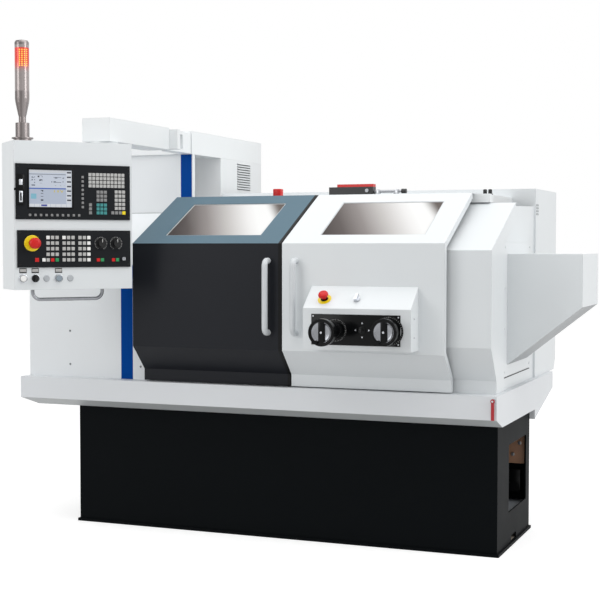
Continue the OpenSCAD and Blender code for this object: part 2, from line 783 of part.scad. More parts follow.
// Door switch on the roof: body, cover strip, button and bolt rod
module interlock() color(black) {
  x0 = right_door_x + 17;
  y0 = rail_back + 5;
  slab([x0, y0, roof_top], [x0 + 201, y0 + 40, roof_top + 42]);
  slab([x0 + 37, y0 + 2, roof_top + 41], [x0 + 201, y0 + 38, roof_top + 54]);
  rod_y(y0 - 4, y0 + 2, x0 + 174, roof_top + 26, 16);
  rod_x(x0 + 200, x0 + 325, y0 + 20, roof_top + 22, 12);
  rod_x(x0 + 324, x0 + 345, y0 + 20, roof_top + 22, 20);
  slab([x0 + 290, y0 + 12, roof_top], [x0 + 306, y0 + 28, roof_top + 22]);
}

valve_x = tray_right - 12;
valve_z = tray_top - 17;
module drain_valve() color(steel) {
  rod_y(tray_front - 12, tray_front, valve_x, valve_z, 18);
  rod_y(tray_front - 22, tray_front - 11, valve_x, valve_z, 8);
}

module valve_lever() color("firebrick") difference() {
  union() {
    rod_y(tray_front - 18, tray_front - 12 - slide_gap, valve_x, valve_z, 17);
    slab([valve_x - 6, tray_front - 18, valve_z - 74], [valve_x + 6, tray_front - 12 - slide_gap, valve_z]);
  }
  rod_y(tray_front - 30, tray_front, valve_x, valve_z, 8 + 2*run_fit);
}

// Sliding door: one folded sheet with end returns and a window opening
module door_leaf(x0, x1, win_x) difference() {
  union() {
    along_x(x0, x1) polygon(folded(door_profile, door_sheet));
    for (x = [x0, x1 - door_sheet]) along_x(x, x + door_sheet) polygon(folded(door_end_profile, end_return));
  }
  on_slope(win_x) translate([0, win_s, -door_sheet - 5]) cube([win_l, win_h, door_sheet + 10]);
}

module pane(win_x) on_slope(win_x)
  translate([-win_lap, win_s - win_lap, -door_sheet - pane_t]) cube([win_l + 2*win_lap, win_h + 2*win_lap, pane_t]);

// Bow handle: an upright tube with a quarter bend and a foot at each end
module bow(x) {
  r = handle_out - handle_d/2;
  bend = r*0.6;
  y = door_y - r;
  for (s = [-1, 1]) translate([x, y, handle_z + s*(handle_l/2 - bend)]) {
    translate([0, bend, 0]) rotate([0, 90, 0]) rotate([0, 0, s < 0 ? -90 : 180])
      rotate_extrude(angle = 90) translate([bend, 0]) circle(d = handle_d);
    translate([0, bend, s*bend]) rotate([-90, 0, 0]) cylinder(d = handle_d, h = r - bend);
  }
  translate([x, y, handle_z - handle_l/2 + bend]) cylinder(d = handle_d, h = handle_l - 2*bend);
}

module left_door() color(anthracite) door_leaf(left_door_x, left_door_x + left_door_l, left_win_x);
module left_window() color([0.3, 0.28, 0.27, 0.6]) pane(left_win_x);
module left_handle() color(steel) bow(left_handle_x);
module right_door() color(light_grey) door_leaf(right_door_x, right_door_x + right_door_l, right_win_x);
module right_window() color([0.3, 0.28, 0.27, 0.6]) pane(right_win_x);
module right_handle() color(steel) bow(right_handle_x);

// Box with a sloping top; a bush behind its front carries each handwheel
module handwheel_box() color(light_grey) {
  outline = [[door_y, hw_z0], [hw_y, hw_z0], [hw_y, hw_fold], [door_y, hw_fold + hw_rise]];
  difference() {
    union() {
      along_x(hw_x, hw_x + hw_l) intersection() {
        polygon(folded(outline, sheet));
        polygon(outline);
      }
      for (x = [hw_x, hw_x + hw_l - sheet]) along_x(x, x + sheet) polygon(outline);
      for (x = [long_x, short_x]) rod_y(hw_y + 1, hw_y + 40, x, wheel_z, wheel_shaft_d + 16);
      for (x = [stop_x, mode_x]) on_box_top(x, stop_s) translate([0, 0, -22]) cylinder(d = push_stem + 12, h = 21);
    }
    for (x = [long_x, short_x]) rod_y(hw_y - 5, hw_y + 45, x, wheel_z, wheel_shaft_d + 2*run_fit);
    for (x = [stop_x, mode_x]) on_box_top(x, stop_s) translate([0, 0, -30]) cylinder(d = push_stem + 2*run_fit, h = 40);
  }
}

// Handwheel with a dished face, a grip bar, a small crank knob and its stem
module handwheel(x, reach) color(black) {
  back = hw_y - plate_room;
  front = hw_y - reach;
  translate([x, front, wheel_z]) rotate([-90, 0, 0]) {
    difference() {
      cylinder(d = wheel_d, h = 26);
      translate([0, 0, -1]) cylinder(d = wheel_d - 16, h = 9);
    }
    translate([-11, -wheel_d/2 + 10, 1]) cube([22, wheel_d - 20, 12]);
    translate([-20, wheel_d/2 - 15, -9]) cylinder(d = 15, h = 20);
    translate([0, 0, 26 - eps]) cylinder(d1 = wheel_d - 14, d2 = wheel_d*0.66, h = 14);
  }
  rod_y(front + 30, back, x, wheel_z, wheel_d*0.62);
  rod_y(back - 1, hw_y + 38, x, wheel_z, wheel_shaft_d);
}
module long_handwheel() handwheel(long_x, long_reach);
module short_handwheel() handwheel(short_x, short_reach);

// Mushroom button: a stem in its bush, a neck and a domed head
module mushroom(head_d, rise = 0) {
  rotate_extrude() polygon([[0, -20], [push_stem/2, -20], [push_stem/2, 12], [head_d*0.3, 13], [head_d*0.33, 16 + rise/2],
    [head_d*0.4, 19 + rise/2], [head_d/2, 21 + rise/2], [head_d/2, 27 + rise], [head_d*0.42, 32 + rise],
    [head_d*0.25, 35 + rise], [0, 36 + rise]]);
}

module door_stop_button() color("red") on_box_top(stop_x, stop_s) mushroom(stop_d);

module mode_switch() color(steel) on_box_top(mode_x, stop_s) {
  translate([0, 0, -20]) cylinder(d = push_stem, h = 22);
  translate([0, 0, 1]) cylinder(d = 26, h = 7);
  translate([-5, -15, 8 - eps]) cube([10, 34, 9]);
}

// Hinge bracket on the roof's front with two lugs and the pin
module arm_bracket() color(light_grey) {
  plate_l = 84;
  slab([pivot_x - plate_l/2 - 20, roof_front - 8, arm_z0 + 2], [pivot_x + plate_l/2 - 20, roof_front, roof_z + roof_h - 1]);
  slab([pivot_x - lug_r, roof_front - hinge_reach/2, arm_z0 + 2], [pivot_x + lug_r, roof_front - 7, arm_z1]);
  for (z = [arm_z0 + 2, arm_z1 - lug_t]) translate([0, 0, z]) {
    translate([pivot_x, pivot_y, 0]) cylinder(r = lug_r, h = lug_t);
    slab([pivot_x - lug_r, pivot_y, 0], [pivot_x + lug_r, roof_front - 7, lug_t]);
  }
  translate([pivot_x, pivot_y, arm_z0 + 3]) cylinder(d = pivot_d, h = arm_h - 6);
}

// Box beam on an end plate, with a hub at the pivot and a swivel flange and pin under its nose
module pendant_arm() color(light_grey) {
  hub_z0 = arm_z0 + 2 + lug_t + slide_gap;
  hub_z1 = arm_z1 - lug_t - slide_gap;
  front = arm_root + arm_plate_t;
  on_arm() {
    difference() {
      slab([-arm_w/2, -arm_l - arm_nose, arm_z0], [arm_w/2, -front + 1, arm_z1]);
      slab([-arm_w/2 + 4, -arm_l - arm_nose + 4, arm_z0 + 4], [arm_w/2 - 4, -front - 3, arm_z1 - 4]);
    }
    translate([0, 0, arm_z0 + 2]) linear_extrude(arm_h - 9) polygon([[-arm_w/2, -front], [arm_w/2 + arm_plate_out, -front],
      [arm_w/2 + arm_plate_out, -arm_root - 12], [arm_w/2 + arm_plate_out - 12, -arm_root], [-arm_w/2, -arm_root]]);
    difference() {
      union() {
        translate([0, 0, hub_z0]) cylinder(r = hub_r, h = hub_z1 - hub_z0);
        slab([-hub_r, -arm_root - 4, hub_z0], [hub_r, 0, hub_z1]);
      }
      translate([0, 0, hub_z0 - 1]) cylinder(d = pivot_d + 2*run_fit, h = hub_z1 - hub_z0 + 2);
    }
    translate([0, -arm_l, 0]) {
      translate([0, 0, box_top + slide_gap]) cylinder(d = swivel_flange_d, h = swivel_flange_t - slide_gap + 2);
      translate([0, 0, box_top - 36]) cylinder(d = swivel_d, h = 46);
    }
  }
}

plug_u = [box_u0 + 129, box_u0 + 226];
white_u = box_u0 + 34;
selector_u = box_u0 + 83;
grey_u = box_u0 + 178;
panel_stop_u = box_u0 + 70;
panel_stop_z = mp_z0 + 96;
feed_u = box_u0 + 353;
spindle_u = box_u0 + 417;
key_u = box_u0 + 449;
key_z = mp_z0 + 33;
knob_shaft = 8;

// Bores behind the face for the buttons, knobs and the key
module face_bores(from, to) {
  for (u = [white_u, selector_u, grey_u]) on_face(u, row_z, -to) cylinder(d = push_stem + 2*run_fit, h = to - from);
  on_face(panel_stop_u, panel_stop_z, -to) cylinder(d = push_stem + 2*run_fit, h = to - from);
  for (u = [feed_u, spindle_u]) on_face(u, panel_stop_z, -to) cylinder(d = knob_shaft + 2*run_fit, h = to - from);
  on_face(key_u, key_z, -to) cylinder(d = knob_shaft + 2*run_fit, h = to - from);
}

// Plan of the control box, its back right corner cut off to clear the opened door
module box_plan(inset) {
  right = box_u0 + box_w;
  offset(delta = -inset) polygon([[box_u0, 0], [right, 0], [right, box_d - box_cut_v], [right - box_cut_u, box_d],
    [box_u0, box_d]]);
}

module control_box() color(light_grey) on_control() difference() {
  union() {
    difference() {
      translate([0, 0, box_z0]) linear_extrude(box_h) box_plan(0);
      translate([0, 0, box_z0 + sheet]) linear_extrude(box_h - 2*sheet) box_plan(sheet);
    }
    translate([swivel_u, swivel_v, box_top - 40]) cylinder(d = swivel_d + 24, h = 39);
    for (u = [white_u, selector_u, grey_u]) on_face(u, row_z, -24) cylinder(d = push_stem + 10, h = 23);
    for (u = plug_u) on_face(u, row_z) cylinder(d1 = push_d - 2, d2 = push_d - 8, h = 3);
  }
  translate([swivel_u, swivel_v, box_top - 50]) cylinder(d = swivel_d + 2*run_fit, h = 60);
  face_bores(-10, 40);
}

// A field of square keys that stand out of a panel
module keys(u0, z0, cols, rows, pitch_u, pitch_z, size) {
  for (i = [0:cols - 1], j = [0:rows - 1])
    translate([u0 + i*pitch_u - size/2, -panel_t - 2, z0 - j*pitch_z - size/2]) cube([size, 2.5, size]);
}

// Screen and keyboard panel
module operator_panel() color(black) on_control() {
  top = op_z0 + op_h;
  difference() {
    slab([op_u0, -panel_t, op_z0], [op_u0 + op_w, 0, top]);
    slab([op_u0 + 54, -panel_t - 1, top - 171], [op_u0 + 228, -panel_t + 3, top - 24]);
  }
  keys(op_u0 + 272, top - 49, 1, 8, 0, 17.2, 9);
  keys(op_u0 + 56, top - 203, 10, 1, 22.3, 0, 9);
  keys(op_u0 + 303, top - 38, 10, 4, 15.4, 15.2, 12);
  keys(op_u0 + 336, top - 108, 3, 3, 15.5, 16, 12);
  keys(op_u0 + 336, top - 160, 3, 3, 15.5, 16, 12);
  keys(op_u0 + 304, top - 160, 1, 3, 0, 16, 12);
  keys(op_u0 + 413, top - 106, 3, 5, 15.6, 16.7, 12);
  keys(op_u0 + 398, top - 191, 4, 1, 15.8, 0, 12);
}

// Panel with the stop button's collar, the machine keys and the dial rings
module machine_panel() color(black) on_control() difference() {
  union() {
    slab([mp_u0, -panel_t, mp_z0], [mp_u0 + mp_w, 0, mp_z0 + mp_h]);
    on_face(panel_stop_u, panel_stop_z, panel_t - 1) cylinder(d = collar_d, h = 4);
    for (u = [feed_u, spindle_u]) on_face(u, panel_stop_z, panel_t - 1) cylinder(d = knob_d + 14, h = 2);
    for (i = [0:2]) keys(mp_u0 + 123 + 65.6*i, mp_z0 + 119, 3, 5, 18.5, 22.3, 13);
    keys(mp_u0 + 78, mp_z0 + 30, 2, 1, 28, 0, 13);
    for (u = [feed_u, spindle_u]) keys(u - 11, mp_z0 + 29, 2, 1, 17, 0, 13);
    on_face(key_u, key_z, panel_t - 1) cylinder(d = 18, h = 3);
  }
  face_bores(-20, 40);
}

module panel_stop_button() color("red") on_control() on_face(panel_stop_u, panel_stop_z, panel_t)
  mushroom(panel_stop_d, panel_stop_rise);

// Rotary knob: shaft, skirt and a body with a pointer rib
module knob(d, stand) {
  translate([0, 0, -panel_t - 2]) cylinder(d = knob_shaft, h = panel_t + 4 + stand);
  translate([0, 0, stand]) cylinder(d = d, h = 5);
  translate([0, 0, stand + 5 - eps]) cylinder(d1 = d*0.82, d2 = d*0.72, h = 16);
  translate([-2.5, 0, stand + 4]) cube([5, d*0.45, 18]);
}
module feed_knob() color(black) on_control() on_face(feed_u, panel_stop_z, panel_t) knob(knob_d, 2);
module spindle_knob() color(black) on_control() on_face(spindle_u, panel_stop_z, panel_t) knob(knob_d, 2);

// Flush push button: stem, cap and a domed front
module push() {
  translate([0, 0, -22]) cylinder(d = push_stem, h = 28);
  translate([0, 0, 5]) cylinder(d = push_d - 4, h = 6);
  translate([0, 0, 11 - eps]) cylinder(d1 = push_d - 4, d2 = push_d - 9, h = 2);
}
module white_button() color("white") on_control() on_face(white_u, row_z) push();
module grey_button() color("slategray") on_control() on_face(grey_u, row_z) push();

module selector_switch() color(black) on_control() on_face(selector_u, row_z) {
  translate([0, 0, -22]) cylinder(d = push_stem, h = 24);
  translate([0, 0, 1]) cylinder(d = push_d, h = 8);
  translate([-4.5, -push_d/2 + 1, 9 - eps]) cube([9, push_d - 2, 11]);
}

module key_switch() color(steel) on_control() on_face(key_u, key_z, panel_t) {
  translate([0, 0, -panel_t - 2]) cylinder(d = knob_shaft, h = panel_t + 5);
  translate([0, 0, 2 + slide_gap]) cylinder(d = 14, h = 4);
  translate([-1.2, -6, 6]) cube([2.4, 12, 16]);
}

// U-shaped grab handle under the control box
module grab_handle() color(steel) on_control() {
  r = 30;
  low = box_z0 - grab_drop + grab_d/2;
  for (side = [[grab_u0, 180], [grab_u1, 270]]) translate([side[0], grab_v, 0]) {
    inward = side[1] == 180 ? r : -r;
    translate([0, 0, low + r]) cylinder(d = grab_d, h = box_z0 - low - r);
    translate([inward, 0, low + r]) rotate([90, 0, 0]) rotate([0, 0, side[1]])
      rotate_extrude(angle = 90) translate([r, 0]) circle(d = grab_d);
  }
  translate([grab_u0 + r, grab_v, low]) rotate([0, 90, 0]) cylinder(d = grab_d, h = grab_u1 - grab_u0 - 2*r);
}

// Turned foot, neck, flared cup and cap of the signal tower, joined by the lamp column
tower_base = 198;
module signal_tower() color(steel) on_control() translate([tower_u, tower_v, box_top]) {
  r = tower_d/2;
  translate([0, 0, tower_base - 1]) cylinder(d = tower_d*0.4, h = lens_h + 2);
  rotate_extrude() polygon([[0, 0], [r + 6, 0], [r + 6, 9], [r + 14, 9], [r + 14, 14], [r - 1, 15], [r - 1, 72], [r*0.5, 74],
    [r*0.5, 96], [r*0.62, 110], [r*0.8, 134], [r*0.93, 152], [r, 168], [r, tower_base], [0, tower_base]]);
  translate([0, 0, tower_base + lens_h]) rotate_extrude()
    polygon([[0, 0], [r, 0], [r, 10], [r*0.85, 17], [r*0.4, 20], [0, 20]]);
}

module tower_lens() color([0.9, 0.2, 0.2, 0.6]) on_control()
  translate([tower_u, tower_v, box_top + tower_base]) difference() {
    cylinder(d = tower_d, h = lens_h);
    translate([0, 0, -1]) cylinder(d = tower_d - 8, h = lens_h + 2);
  }

base_stand();
coolant_unit();
chip_tray();
bed();
headstock();
spindle();
spindle_pulley();
chuck();
chuck_jaw_1();
chuck_jaw_2();
chuck_jaw_3();
main_motor();
motor_pulley();
drive_belt();
carriage();
cross_slide();
tool_disc();
lead_screw();
feed_motor();
tailstock();
quill();
tailstock_wheel();
headstock_cabinet();
upper_panel();
electrical_cabinet();
cabinet_roof();
rear_housing();
roof_rail();
right_guard();
end_wall();
end_hood();
interlock();
drain_valve();
valve_lever();
left_door();
left_window();
left_handle();
right_door();
right_window();
right_handle();
handwheel_box();
long_handwheel();
short_handwheel();
door_stop_button();
mode_switch();
arm_bracket();
pendant_arm();
control_box();
operator_panel();
machine_panel();
panel_stop_button();
feed_knob();
spindle_knob();
white_button();
selector_switch();
grey_button();
key_switch();
grab_handle();
signal_tower();
tower_lens();
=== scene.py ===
# %% [markdown]
# A flat-bed turning lathe: a black stand, a light-grey chip tray and covers, two sliding doors, and a
# control box that hangs from a swing arm. The solids come from the CAD frame, already in metres and
# in place. This lesson lights them, gives each one its finish, and adds the small parts that a solid
# model leaves out.

# %% Load the frame
from math import atan2, pi, radians

import bmesh
import bpy
from mathutils import Matrix, Vector


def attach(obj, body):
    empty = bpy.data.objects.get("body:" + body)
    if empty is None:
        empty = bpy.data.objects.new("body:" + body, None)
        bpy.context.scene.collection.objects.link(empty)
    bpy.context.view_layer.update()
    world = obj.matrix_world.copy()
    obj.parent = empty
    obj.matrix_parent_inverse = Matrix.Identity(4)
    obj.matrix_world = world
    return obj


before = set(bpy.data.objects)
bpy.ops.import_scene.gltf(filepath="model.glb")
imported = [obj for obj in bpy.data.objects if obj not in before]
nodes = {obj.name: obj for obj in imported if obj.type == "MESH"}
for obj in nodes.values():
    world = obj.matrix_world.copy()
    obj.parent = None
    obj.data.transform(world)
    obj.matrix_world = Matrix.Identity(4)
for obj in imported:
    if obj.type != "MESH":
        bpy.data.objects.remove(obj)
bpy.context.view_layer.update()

# %% [markdown]
# The photo was taken from the right, a little above the machine's middle, with a long lens. The
# camera's place was solved from the straight edges of the stand, the tray and the doors, so it can be
# written down as plain numbers. A sensor of 36 mm and the lens below give the same perspective.

# %% Camera
TILT_DOWN, PAN_LEFT = 2.36, 21.91
scene = bpy.context.scene
eye = bpy.data.cameras.new("eye")
eye.lens, eye.sensor_width, eye.clip_end = 78.8, 36.0, 200.0
camera = bpy.data.objects.new("camera", eye)
camera.location = (2.1461, -5.3539, 1.2297)
camera.rotation_euler = (radians(90 - TILT_DOWN), 0, radians(PAN_LEFT))
scene.collection.objects.link(camera)
scene.camera = camera
scene.view_settings.view_transform = "Standard"
print("camera with a lens of", round(eye.lens, 1), "mm")

# %% [markdown]
# Shader maths reads best as plain arithmetic. The class below wraps a socket, so an expression such as
# `0.3 + 0.1 * grain` adds the Math nodes by itself.

# %% Numbers in a shader
class Val:
    """A number on its way through a shader."""

    def __init__(self, finish, socket):
        self.finish, self.socket = finish, socket

    def maths(self, operation, first, second=0.0):
        made = self.finish.node("ShaderNodeMath", {"operation": operation}, {0: first, 1: second})
        return made["Value"]

    def __add__(self, other):
        return self.maths("ADD", self, other)

    def __sub__(self, other):
        return self.maths("SUBTRACT", self, other)

    def __rsub__(self, other):
        return self.maths("SUBTRACT", other, self)

    def __mul__(self, other):
        return self.maths("MULTIPLY", self, other)

    def __truediv__(self, other):
        return self.maths("DIVIDE", self, other)

    def __gt__(self, other):
        return self.maths("GREATER_THAN", self, other)

    def __lt__(self, other):
        return self.maths("LESS_THAN", self, other)

    def step(self, low, high):
        """0 below low, 1 above high, smooth between."""
        made = self.finish.node("ShaderNodeMapRange", {"interpolation_type": "SMOOTHSTEP"},
                                {"Value": self, "From Min": low, "From Max": high})
        return made["Result"]

    def fract(self):
        return self.maths("FRACT", self)

    __radd__, __rmul__ = __add__, __mul__


print("shader arithmetic ready")

# %% [markdown]
# Every other node comes from one method of a finish, which takes the node's type, its settings and
# what goes into its sockets. Places, noises, mixes and bumps are needed all the time, so they have
# methods of their own.

# %% A finish and its nodes
class Made:
    """A node whose outputs are read by name."""

    def __init__(self, finish, node):
        self.finish, self.node = finish, node

    def __getitem__(self, name):
        return Val(self.finish, self.node.outputs[name])


class Finish:
    """One material, with its shader ready to be fed."""

    def __init__(self, name, **plain):
        self.material = bpy.data.materials.new(name)
        self.material.use_nodes = True
        self.tree = self.material.node_tree
        self.shader = self.tree.nodes["Principled BSDF"]
        for socket, value in plain.items():
            self.shader.inputs[socket.replace("_", " ")].default_value = value

    def node(self, kind, settings, sockets):
        node = self.tree.nodes.new(kind)
        for key, value in settings.items():
            setattr(node, key, value)
        for key, value in sockets.items():
            self.join(value, node.inputs[key])
        return Made(self, node)

    def join(self, value, socket):
        if isinstance(value, Val):
            self.tree.links.new(value.socket, socket)
        else:
            socket.default_value = value

    def feed(self, socket, value):
        self.join(value, self.shader.inputs[socket])

    def place(self):
        return self.node("ShaderNodeTexCoord", {}, {})["Object"]

    def axes(self, where):
        made = self.node("ShaderNodeSeparateXYZ", {}, {"Vector": where})
        return made["X"], made["Y"], made["Z"]

    def facing_up(self):
        """1 on faces that look straight up, -1 on those that look straight down."""
        return self.axes(self.node("ShaderNodeNewGeometry", {}, {})["Normal"])[2]

    def noise(self, where, scale, detail=2.0):
        sockets = {"Vector": where, "Scale": scale, "Detail": detail}
        return self.node("ShaderNodeTexNoise", {}, sockets)["Fac"]

    def mix(self, amount, first, second):
        made = self.node("ShaderNodeMix", {"data_type": "RGBA"}, {0: amount, 6: first, 7: second})
        return Val(self, made.node.outputs[2])

    def ramp(self, amount, stops):
        """Colours in a row: each stop is a place from 0 to 1 and its colour."""
        made = self.node("ShaderNodeValToRGB", {}, {"Fac": amount})
        elements = made.node.color_ramp.elements
        for _ in stops[2:]:
            elements.new(0.5)
        for element, (place, colour) in zip(elements, stops):
            element.position, element.color = place, (*colour, 1)
        return made["Color"]

    def relief(self, height, strength, distance, edge):
        """Surface bumps, on top of edges that are rounded by the radius edge."""
        soft = self.node("ShaderNodeBevel", {"samples": 4}, {"Radius": edge})["Normal"]
        sockets = {"Height": height, "Strength": strength, "Distance": distance, "Normal": soft}
        self.feed("Normal", self.node("ShaderNodeBump", {}, sockets)["Normal"])


print("finish class ready")

# %% [markdown]
# Colours are written as screen values from 0 to 255. A shader takes linear light, so they are
# converted here. `opaque` adds the alpha that a colour socket wants, and `tone` makes a colour a
# little darker or lighter first.

# %% Colours
def linear(value):
    value /= 255
    return value / 12.92 if value <= 0.04045 else ((value + 0.055) / 1.055) ** 2.4


def rgb(red, green, blue):
    return linear(red), linear(green), linear(blue)


def opaque(red, green, blue):
    return (*rgb(red, green, blue), 1)


def tone(colour, factor=1.0):
    return (*[min(1.0, c * factor) for c in colour], 1.0)


BLACK = opaque(0, 0, 0)
print("colour helpers ready")

# %% [markdown]
# The covers are powder coated. Such a coat has a faint orange-peel skin, folded edges that catch the
# light, and a tone that is never quite even. Three noises do it: a broad one shifts the tone, a middle
# one the gloss, and a fine one gives the skin. The Bevel node rounds every edge by a millimetre or two
# in the shading only, so the solids keep their size.

# %% Powder coat recipe
def powder_coat(name, colour, gloss=0.34, edge=0.0022, skin=0.10, painted_sheen_up=None, mask=None,
                second=None, **plain):
    """Paint in one colour, with a painted sheen on faces that look up, and in second where the mask is
    1.
    """
    finish = Finish(name, **plain)
    where = finish.place()
    broad = finish.noise(where, 2.2, 3.0)
    smear = finish.noise(where, 9.0, 4.0)
    fine = finish.noise(where, 620.0, 1.0)
    base = finish.mix(broad, tone(colour, 0.965), tone(colour, 1.02))
    # Painted sheen: faces that look up take a lighter tone, a painted reflection.
    if painted_sheen_up:
        base = finish.mix(finish.facing_up().step(0.35, 0.95), base, tone(painted_sheen_up))
    if mask:
        base = finish.mix(mask(finish, *finish.axes(where)), base, tone(second))
    finish.feed("Base Color", base)
    finish.feed("Roughness", gloss + 0.10 * smear)
    finish.relief(fine, skin, 0.0004, edge)
    return finish.material


print("powder coat recipe ready")

# %% [markdown]
# Most covers wear the same grey, and some a lighter copy of it, which is painted light. Some coats
# have a second colour over a part of the solid, and a mask says where: the blue band is paint, the
# darker tone on faces that look down is painted shade, and the lighter tone deep in the cabinet's
# recess is painted light. A mask looks at the place on the machine, or at the way a face is turned.

# %% Coats of the covers
GREY = rgb(221, 225, 227)
RECESS_Y = 0.5128
STRIPE_LEFT, STRIPE_RIGHT, STRIPE_BACK = -0.696, -0.638, 0.2065


# Faces that look down get a darker tone here: painted shade.
def painted_shade_below(finish, x, y, z):
    return finish.facing_up() < -0.3


# The cabinet front deep in the recess, shaded by the roof, is painted lighter: painted light.
def painted_light_in_recess(finish, x, y, z):
    return y < RECESS_Y


def stripe(finish, x, y, z):
    """The blue band, a centimetre further left at its front than at its top."""
    across = x + 0.010 * (0.0 - y).step(-0.2, 0.34)
    return (across > STRIPE_LEFT) * (across < STRIPE_RIGHT) * (y < STRIPE_BACK)


grey_coat = powder_coat("grey_powder_coat", GREY)
# A lighter copy of the grey coat, for the roof, the roof rail, the arm and its bracket: the extra
# lightness is painted light.
grey_coat_with_painted_light = powder_coat("lighter_grey_as_painted_light", rgb(232, 235, 236))
# The tray's faces that look down are painted a darker grey: painted shade.
sill_coat = powder_coat("grey_tray_coat", rgb(219, 222, 225), gloss=0.40, mask=painted_shade_below,
                        second=rgb(196, 200, 201))
# The end hood's faces that look down, such as its floor sheet, are painted a much darker grey: painted
# shade.
hood_coat = powder_coat("grey_coat_with_painted_shade_below", GREY, mask=painted_shade_below,
                        second=rgb(134, 139, 142))
# Painted light: the cabinet front in the recess is painted almost white.
cabinet_coat = powder_coat("grey_cabinet_coat", rgb(228, 231, 232), mask=painted_light_in_recess,
                           second=rgb(250, 251, 252))
# Its grey is the same lighter copy of the grey coat: painted light, for the upper panel that lies in
# the shade of the control box and its arm.
stripe_coat = powder_coat("grey_coat_with_blue_band", rgb(232, 235, 237), mask=stripe,
                          second=rgb(0, 66, 146), Specular_IOR_Level=0.03)
print("coats of the covers ready")

# %% [markdown]
# The stand is black outside and pale inside. The left door is dark, with a painted bluish sheen on the
# slope that looks up, a painted reflection, and a black seal along its right edge. Castings get the
# same recipe with a rougher skin.

# %% Dark coats and castings
STAND_WALL_X, STAND_WALL_Y = 0.9436, 0.2886
SEAL_X = 0.0925


def stand_inside(finish, x, y, z):
    along = (x < STAND_WALL_X) * (x > -STAND_WALL_X)
    return along * (y < STAND_WALL_Y) * (y > -STAND_WALL_Y)


def seal_edge(finish, x, y, z):
    return x.step(SEAL_X, SEAL_X + 0.001)


black_coat = powder_coat("black_stand_coat", rgb(9, 12, 14), gloss=0.5, skin=0.2, mask=stand_inside,
                         second=rgb(150, 142, 132), Specular_IOR_Level=0.04)
# The door's slope that looks up gets a painted bluish sheen, a painted reflection.
dark_coat = powder_coat("dark_door_coat", rgb(25, 27, 32), painted_sheen_up=rgb(86, 112, 126), mask=seal_edge,
                        second=rgb(8, 9, 10), Specular_IOR_Level=0.14)
tank_coat = powder_coat("tank_coat", rgb(120, 124, 128), gloss=0.45)
motor_coat = powder_coat("motor_coat", rgb(38, 41, 46), gloss=0.5, skin=0.3)
cast_iron = powder_coat("painted_casting", rgb(150, 156, 160), gloss=0.5, skin=0.6, edge=0.004)
print("dark coats and castings ready")

# %% [markdown]
# Metal shows how it was made. Turned and ground steel carries fine lines along one way, and chrome is
# almost a mirror with a few wipe marks. Stretching the noise along one axis makes lines out of spots,
# so one recipe gives all of these.

# %% Metals
def metal(name, colour, rough, lines=(1.0, 1.0, 1.0), scale=160.0, depth=0.05, edge=0.0012):
    finish = Finish(name, Metallic=1.0)
    where = finish.place()
    stretched = finish.node("ShaderNodeMapping", {}, {"Vector": where, "Scale": lines})["Vector"]
    brush = finish.noise(stretched, scale, 3.0)
    wipe = finish.noise(where, 14.0, 4.0)
    finish.feed("Base Color", finish.mix(brush, tone(colour, 0.86), tone(colour, 1.08)))
    finish.feed("Roughness", rough + 0.10 * wipe)
    finish.relief(brush, depth, 0.0006, edge)
    return finish.material


steel = metal("ground_steel", rgb(190, 192, 196), 0.24, lines=(0.05, 1.0, 1.0))
bright = metal("polished_chrome", rgb(216, 219, 223), 0.08, scale=60.0, depth=0.01)
satin = metal("satin_aluminium", rgb(200, 203, 208), 0.30, lines=(1.0, 1.0, 0.04), scale=300.0)
dish = metal("spun_dish", rgb(138, 140, 144), 0.20, scale=60.0, depth=0.01)
print("metals ready")

# %% [markdown]
# Moulded plastics differ mostly in gloss and grain. Panel foils and keys have a fine grain, buttons
# are smooth and bright.

# %% Plastics
def moulded(name, colour, gloss, grain=0.12, **plain):
    finish = Finish(name, **plain)
    where = finish.place()
    pebble = finish.noise(where, 900.0, 2.0)
    broad = finish.noise(where, 25.0, 3.0)
    finish.feed("Base Color", finish.mix(broad, tone(colour, 0.93), tone(colour, 1.05)))
    finish.feed("Roughness", gloss + 0.08 * broad)
    finish.relief(pebble, grain, 0.0003, 0.0008)
    return finish.material


panel_black = moulded("panel_foil", rgb(26, 28, 31), 0.45, Specular_IOR_Level=0.1)
plastic_black = moulded("black_plastic", rgb(9, 10, 11), 0.16, Specular_IOR_Level=0.12)
knob_black = moulded("knob_plastic", rgb(14, 15, 16), 0.38, Specular_IOR_Level=0.3)
rubber = moulded("black_rubber", rgb(12, 13, 14), 0.6, grain=0.4)
red = moulded("red_plastic", rgb(204, 26, 24), 0.28, grain=0.02, Specular_IOR_Level=0.3)
lever_red = moulded("lever_grip", rgb(168, 22, 34), 0.35, grain=0.05)
yellow = moulded("yellow_plastic", rgb(242, 216, 20), 0.3, grain=0.03)
white = moulded("white_plastic", rgb(240, 240, 238), 0.25, grain=0.02)
green = moulded("green_plastic", rgb(20, 140, 80), 0.3, grain=0.03)
teal = moulded("teal_key", rgb(52, 134, 134), 0.4)
key_grey = moulded("grey_key", rgb(128, 128, 128), 0.42)
key_light = moulded("light_key", rgb(180, 180, 178), 0.42)
blue_grey = moulded("blue_grey_plastic", rgb(138, 150, 160), 0.22, grain=0.02)
board = moulded("brown_board", rgb(176, 132, 104), 0.5)
# The window bead is real; its pale tone is a painted highlight along the window edges.
bead = moulded("pale_bead_as_painted_highlight", rgb(200, 203, 205), 0.4)
handle_coat = moulded("handle_coat", rgb(206, 210, 213), 0.34, grain=0.03)
plug_grey = moulded("plug_plastic", rgb(176, 180, 184), 0.35, grain=0.04)
print("plastics ready")

# %% [markdown]
# In the photo the windows mirror a studio: brown at the left, white at the right, and dark again in
# the upper right corner. That look is painted on the panes, across each window and a little slanted.

# %% Window panes
WINDOW_LEFT, WINDOW_RIGHT, WINDOW_WIDE = -0.450, 0.249, 0.438
WINDOW_LOW, WINDOW_RISE = 1.274, 0.138


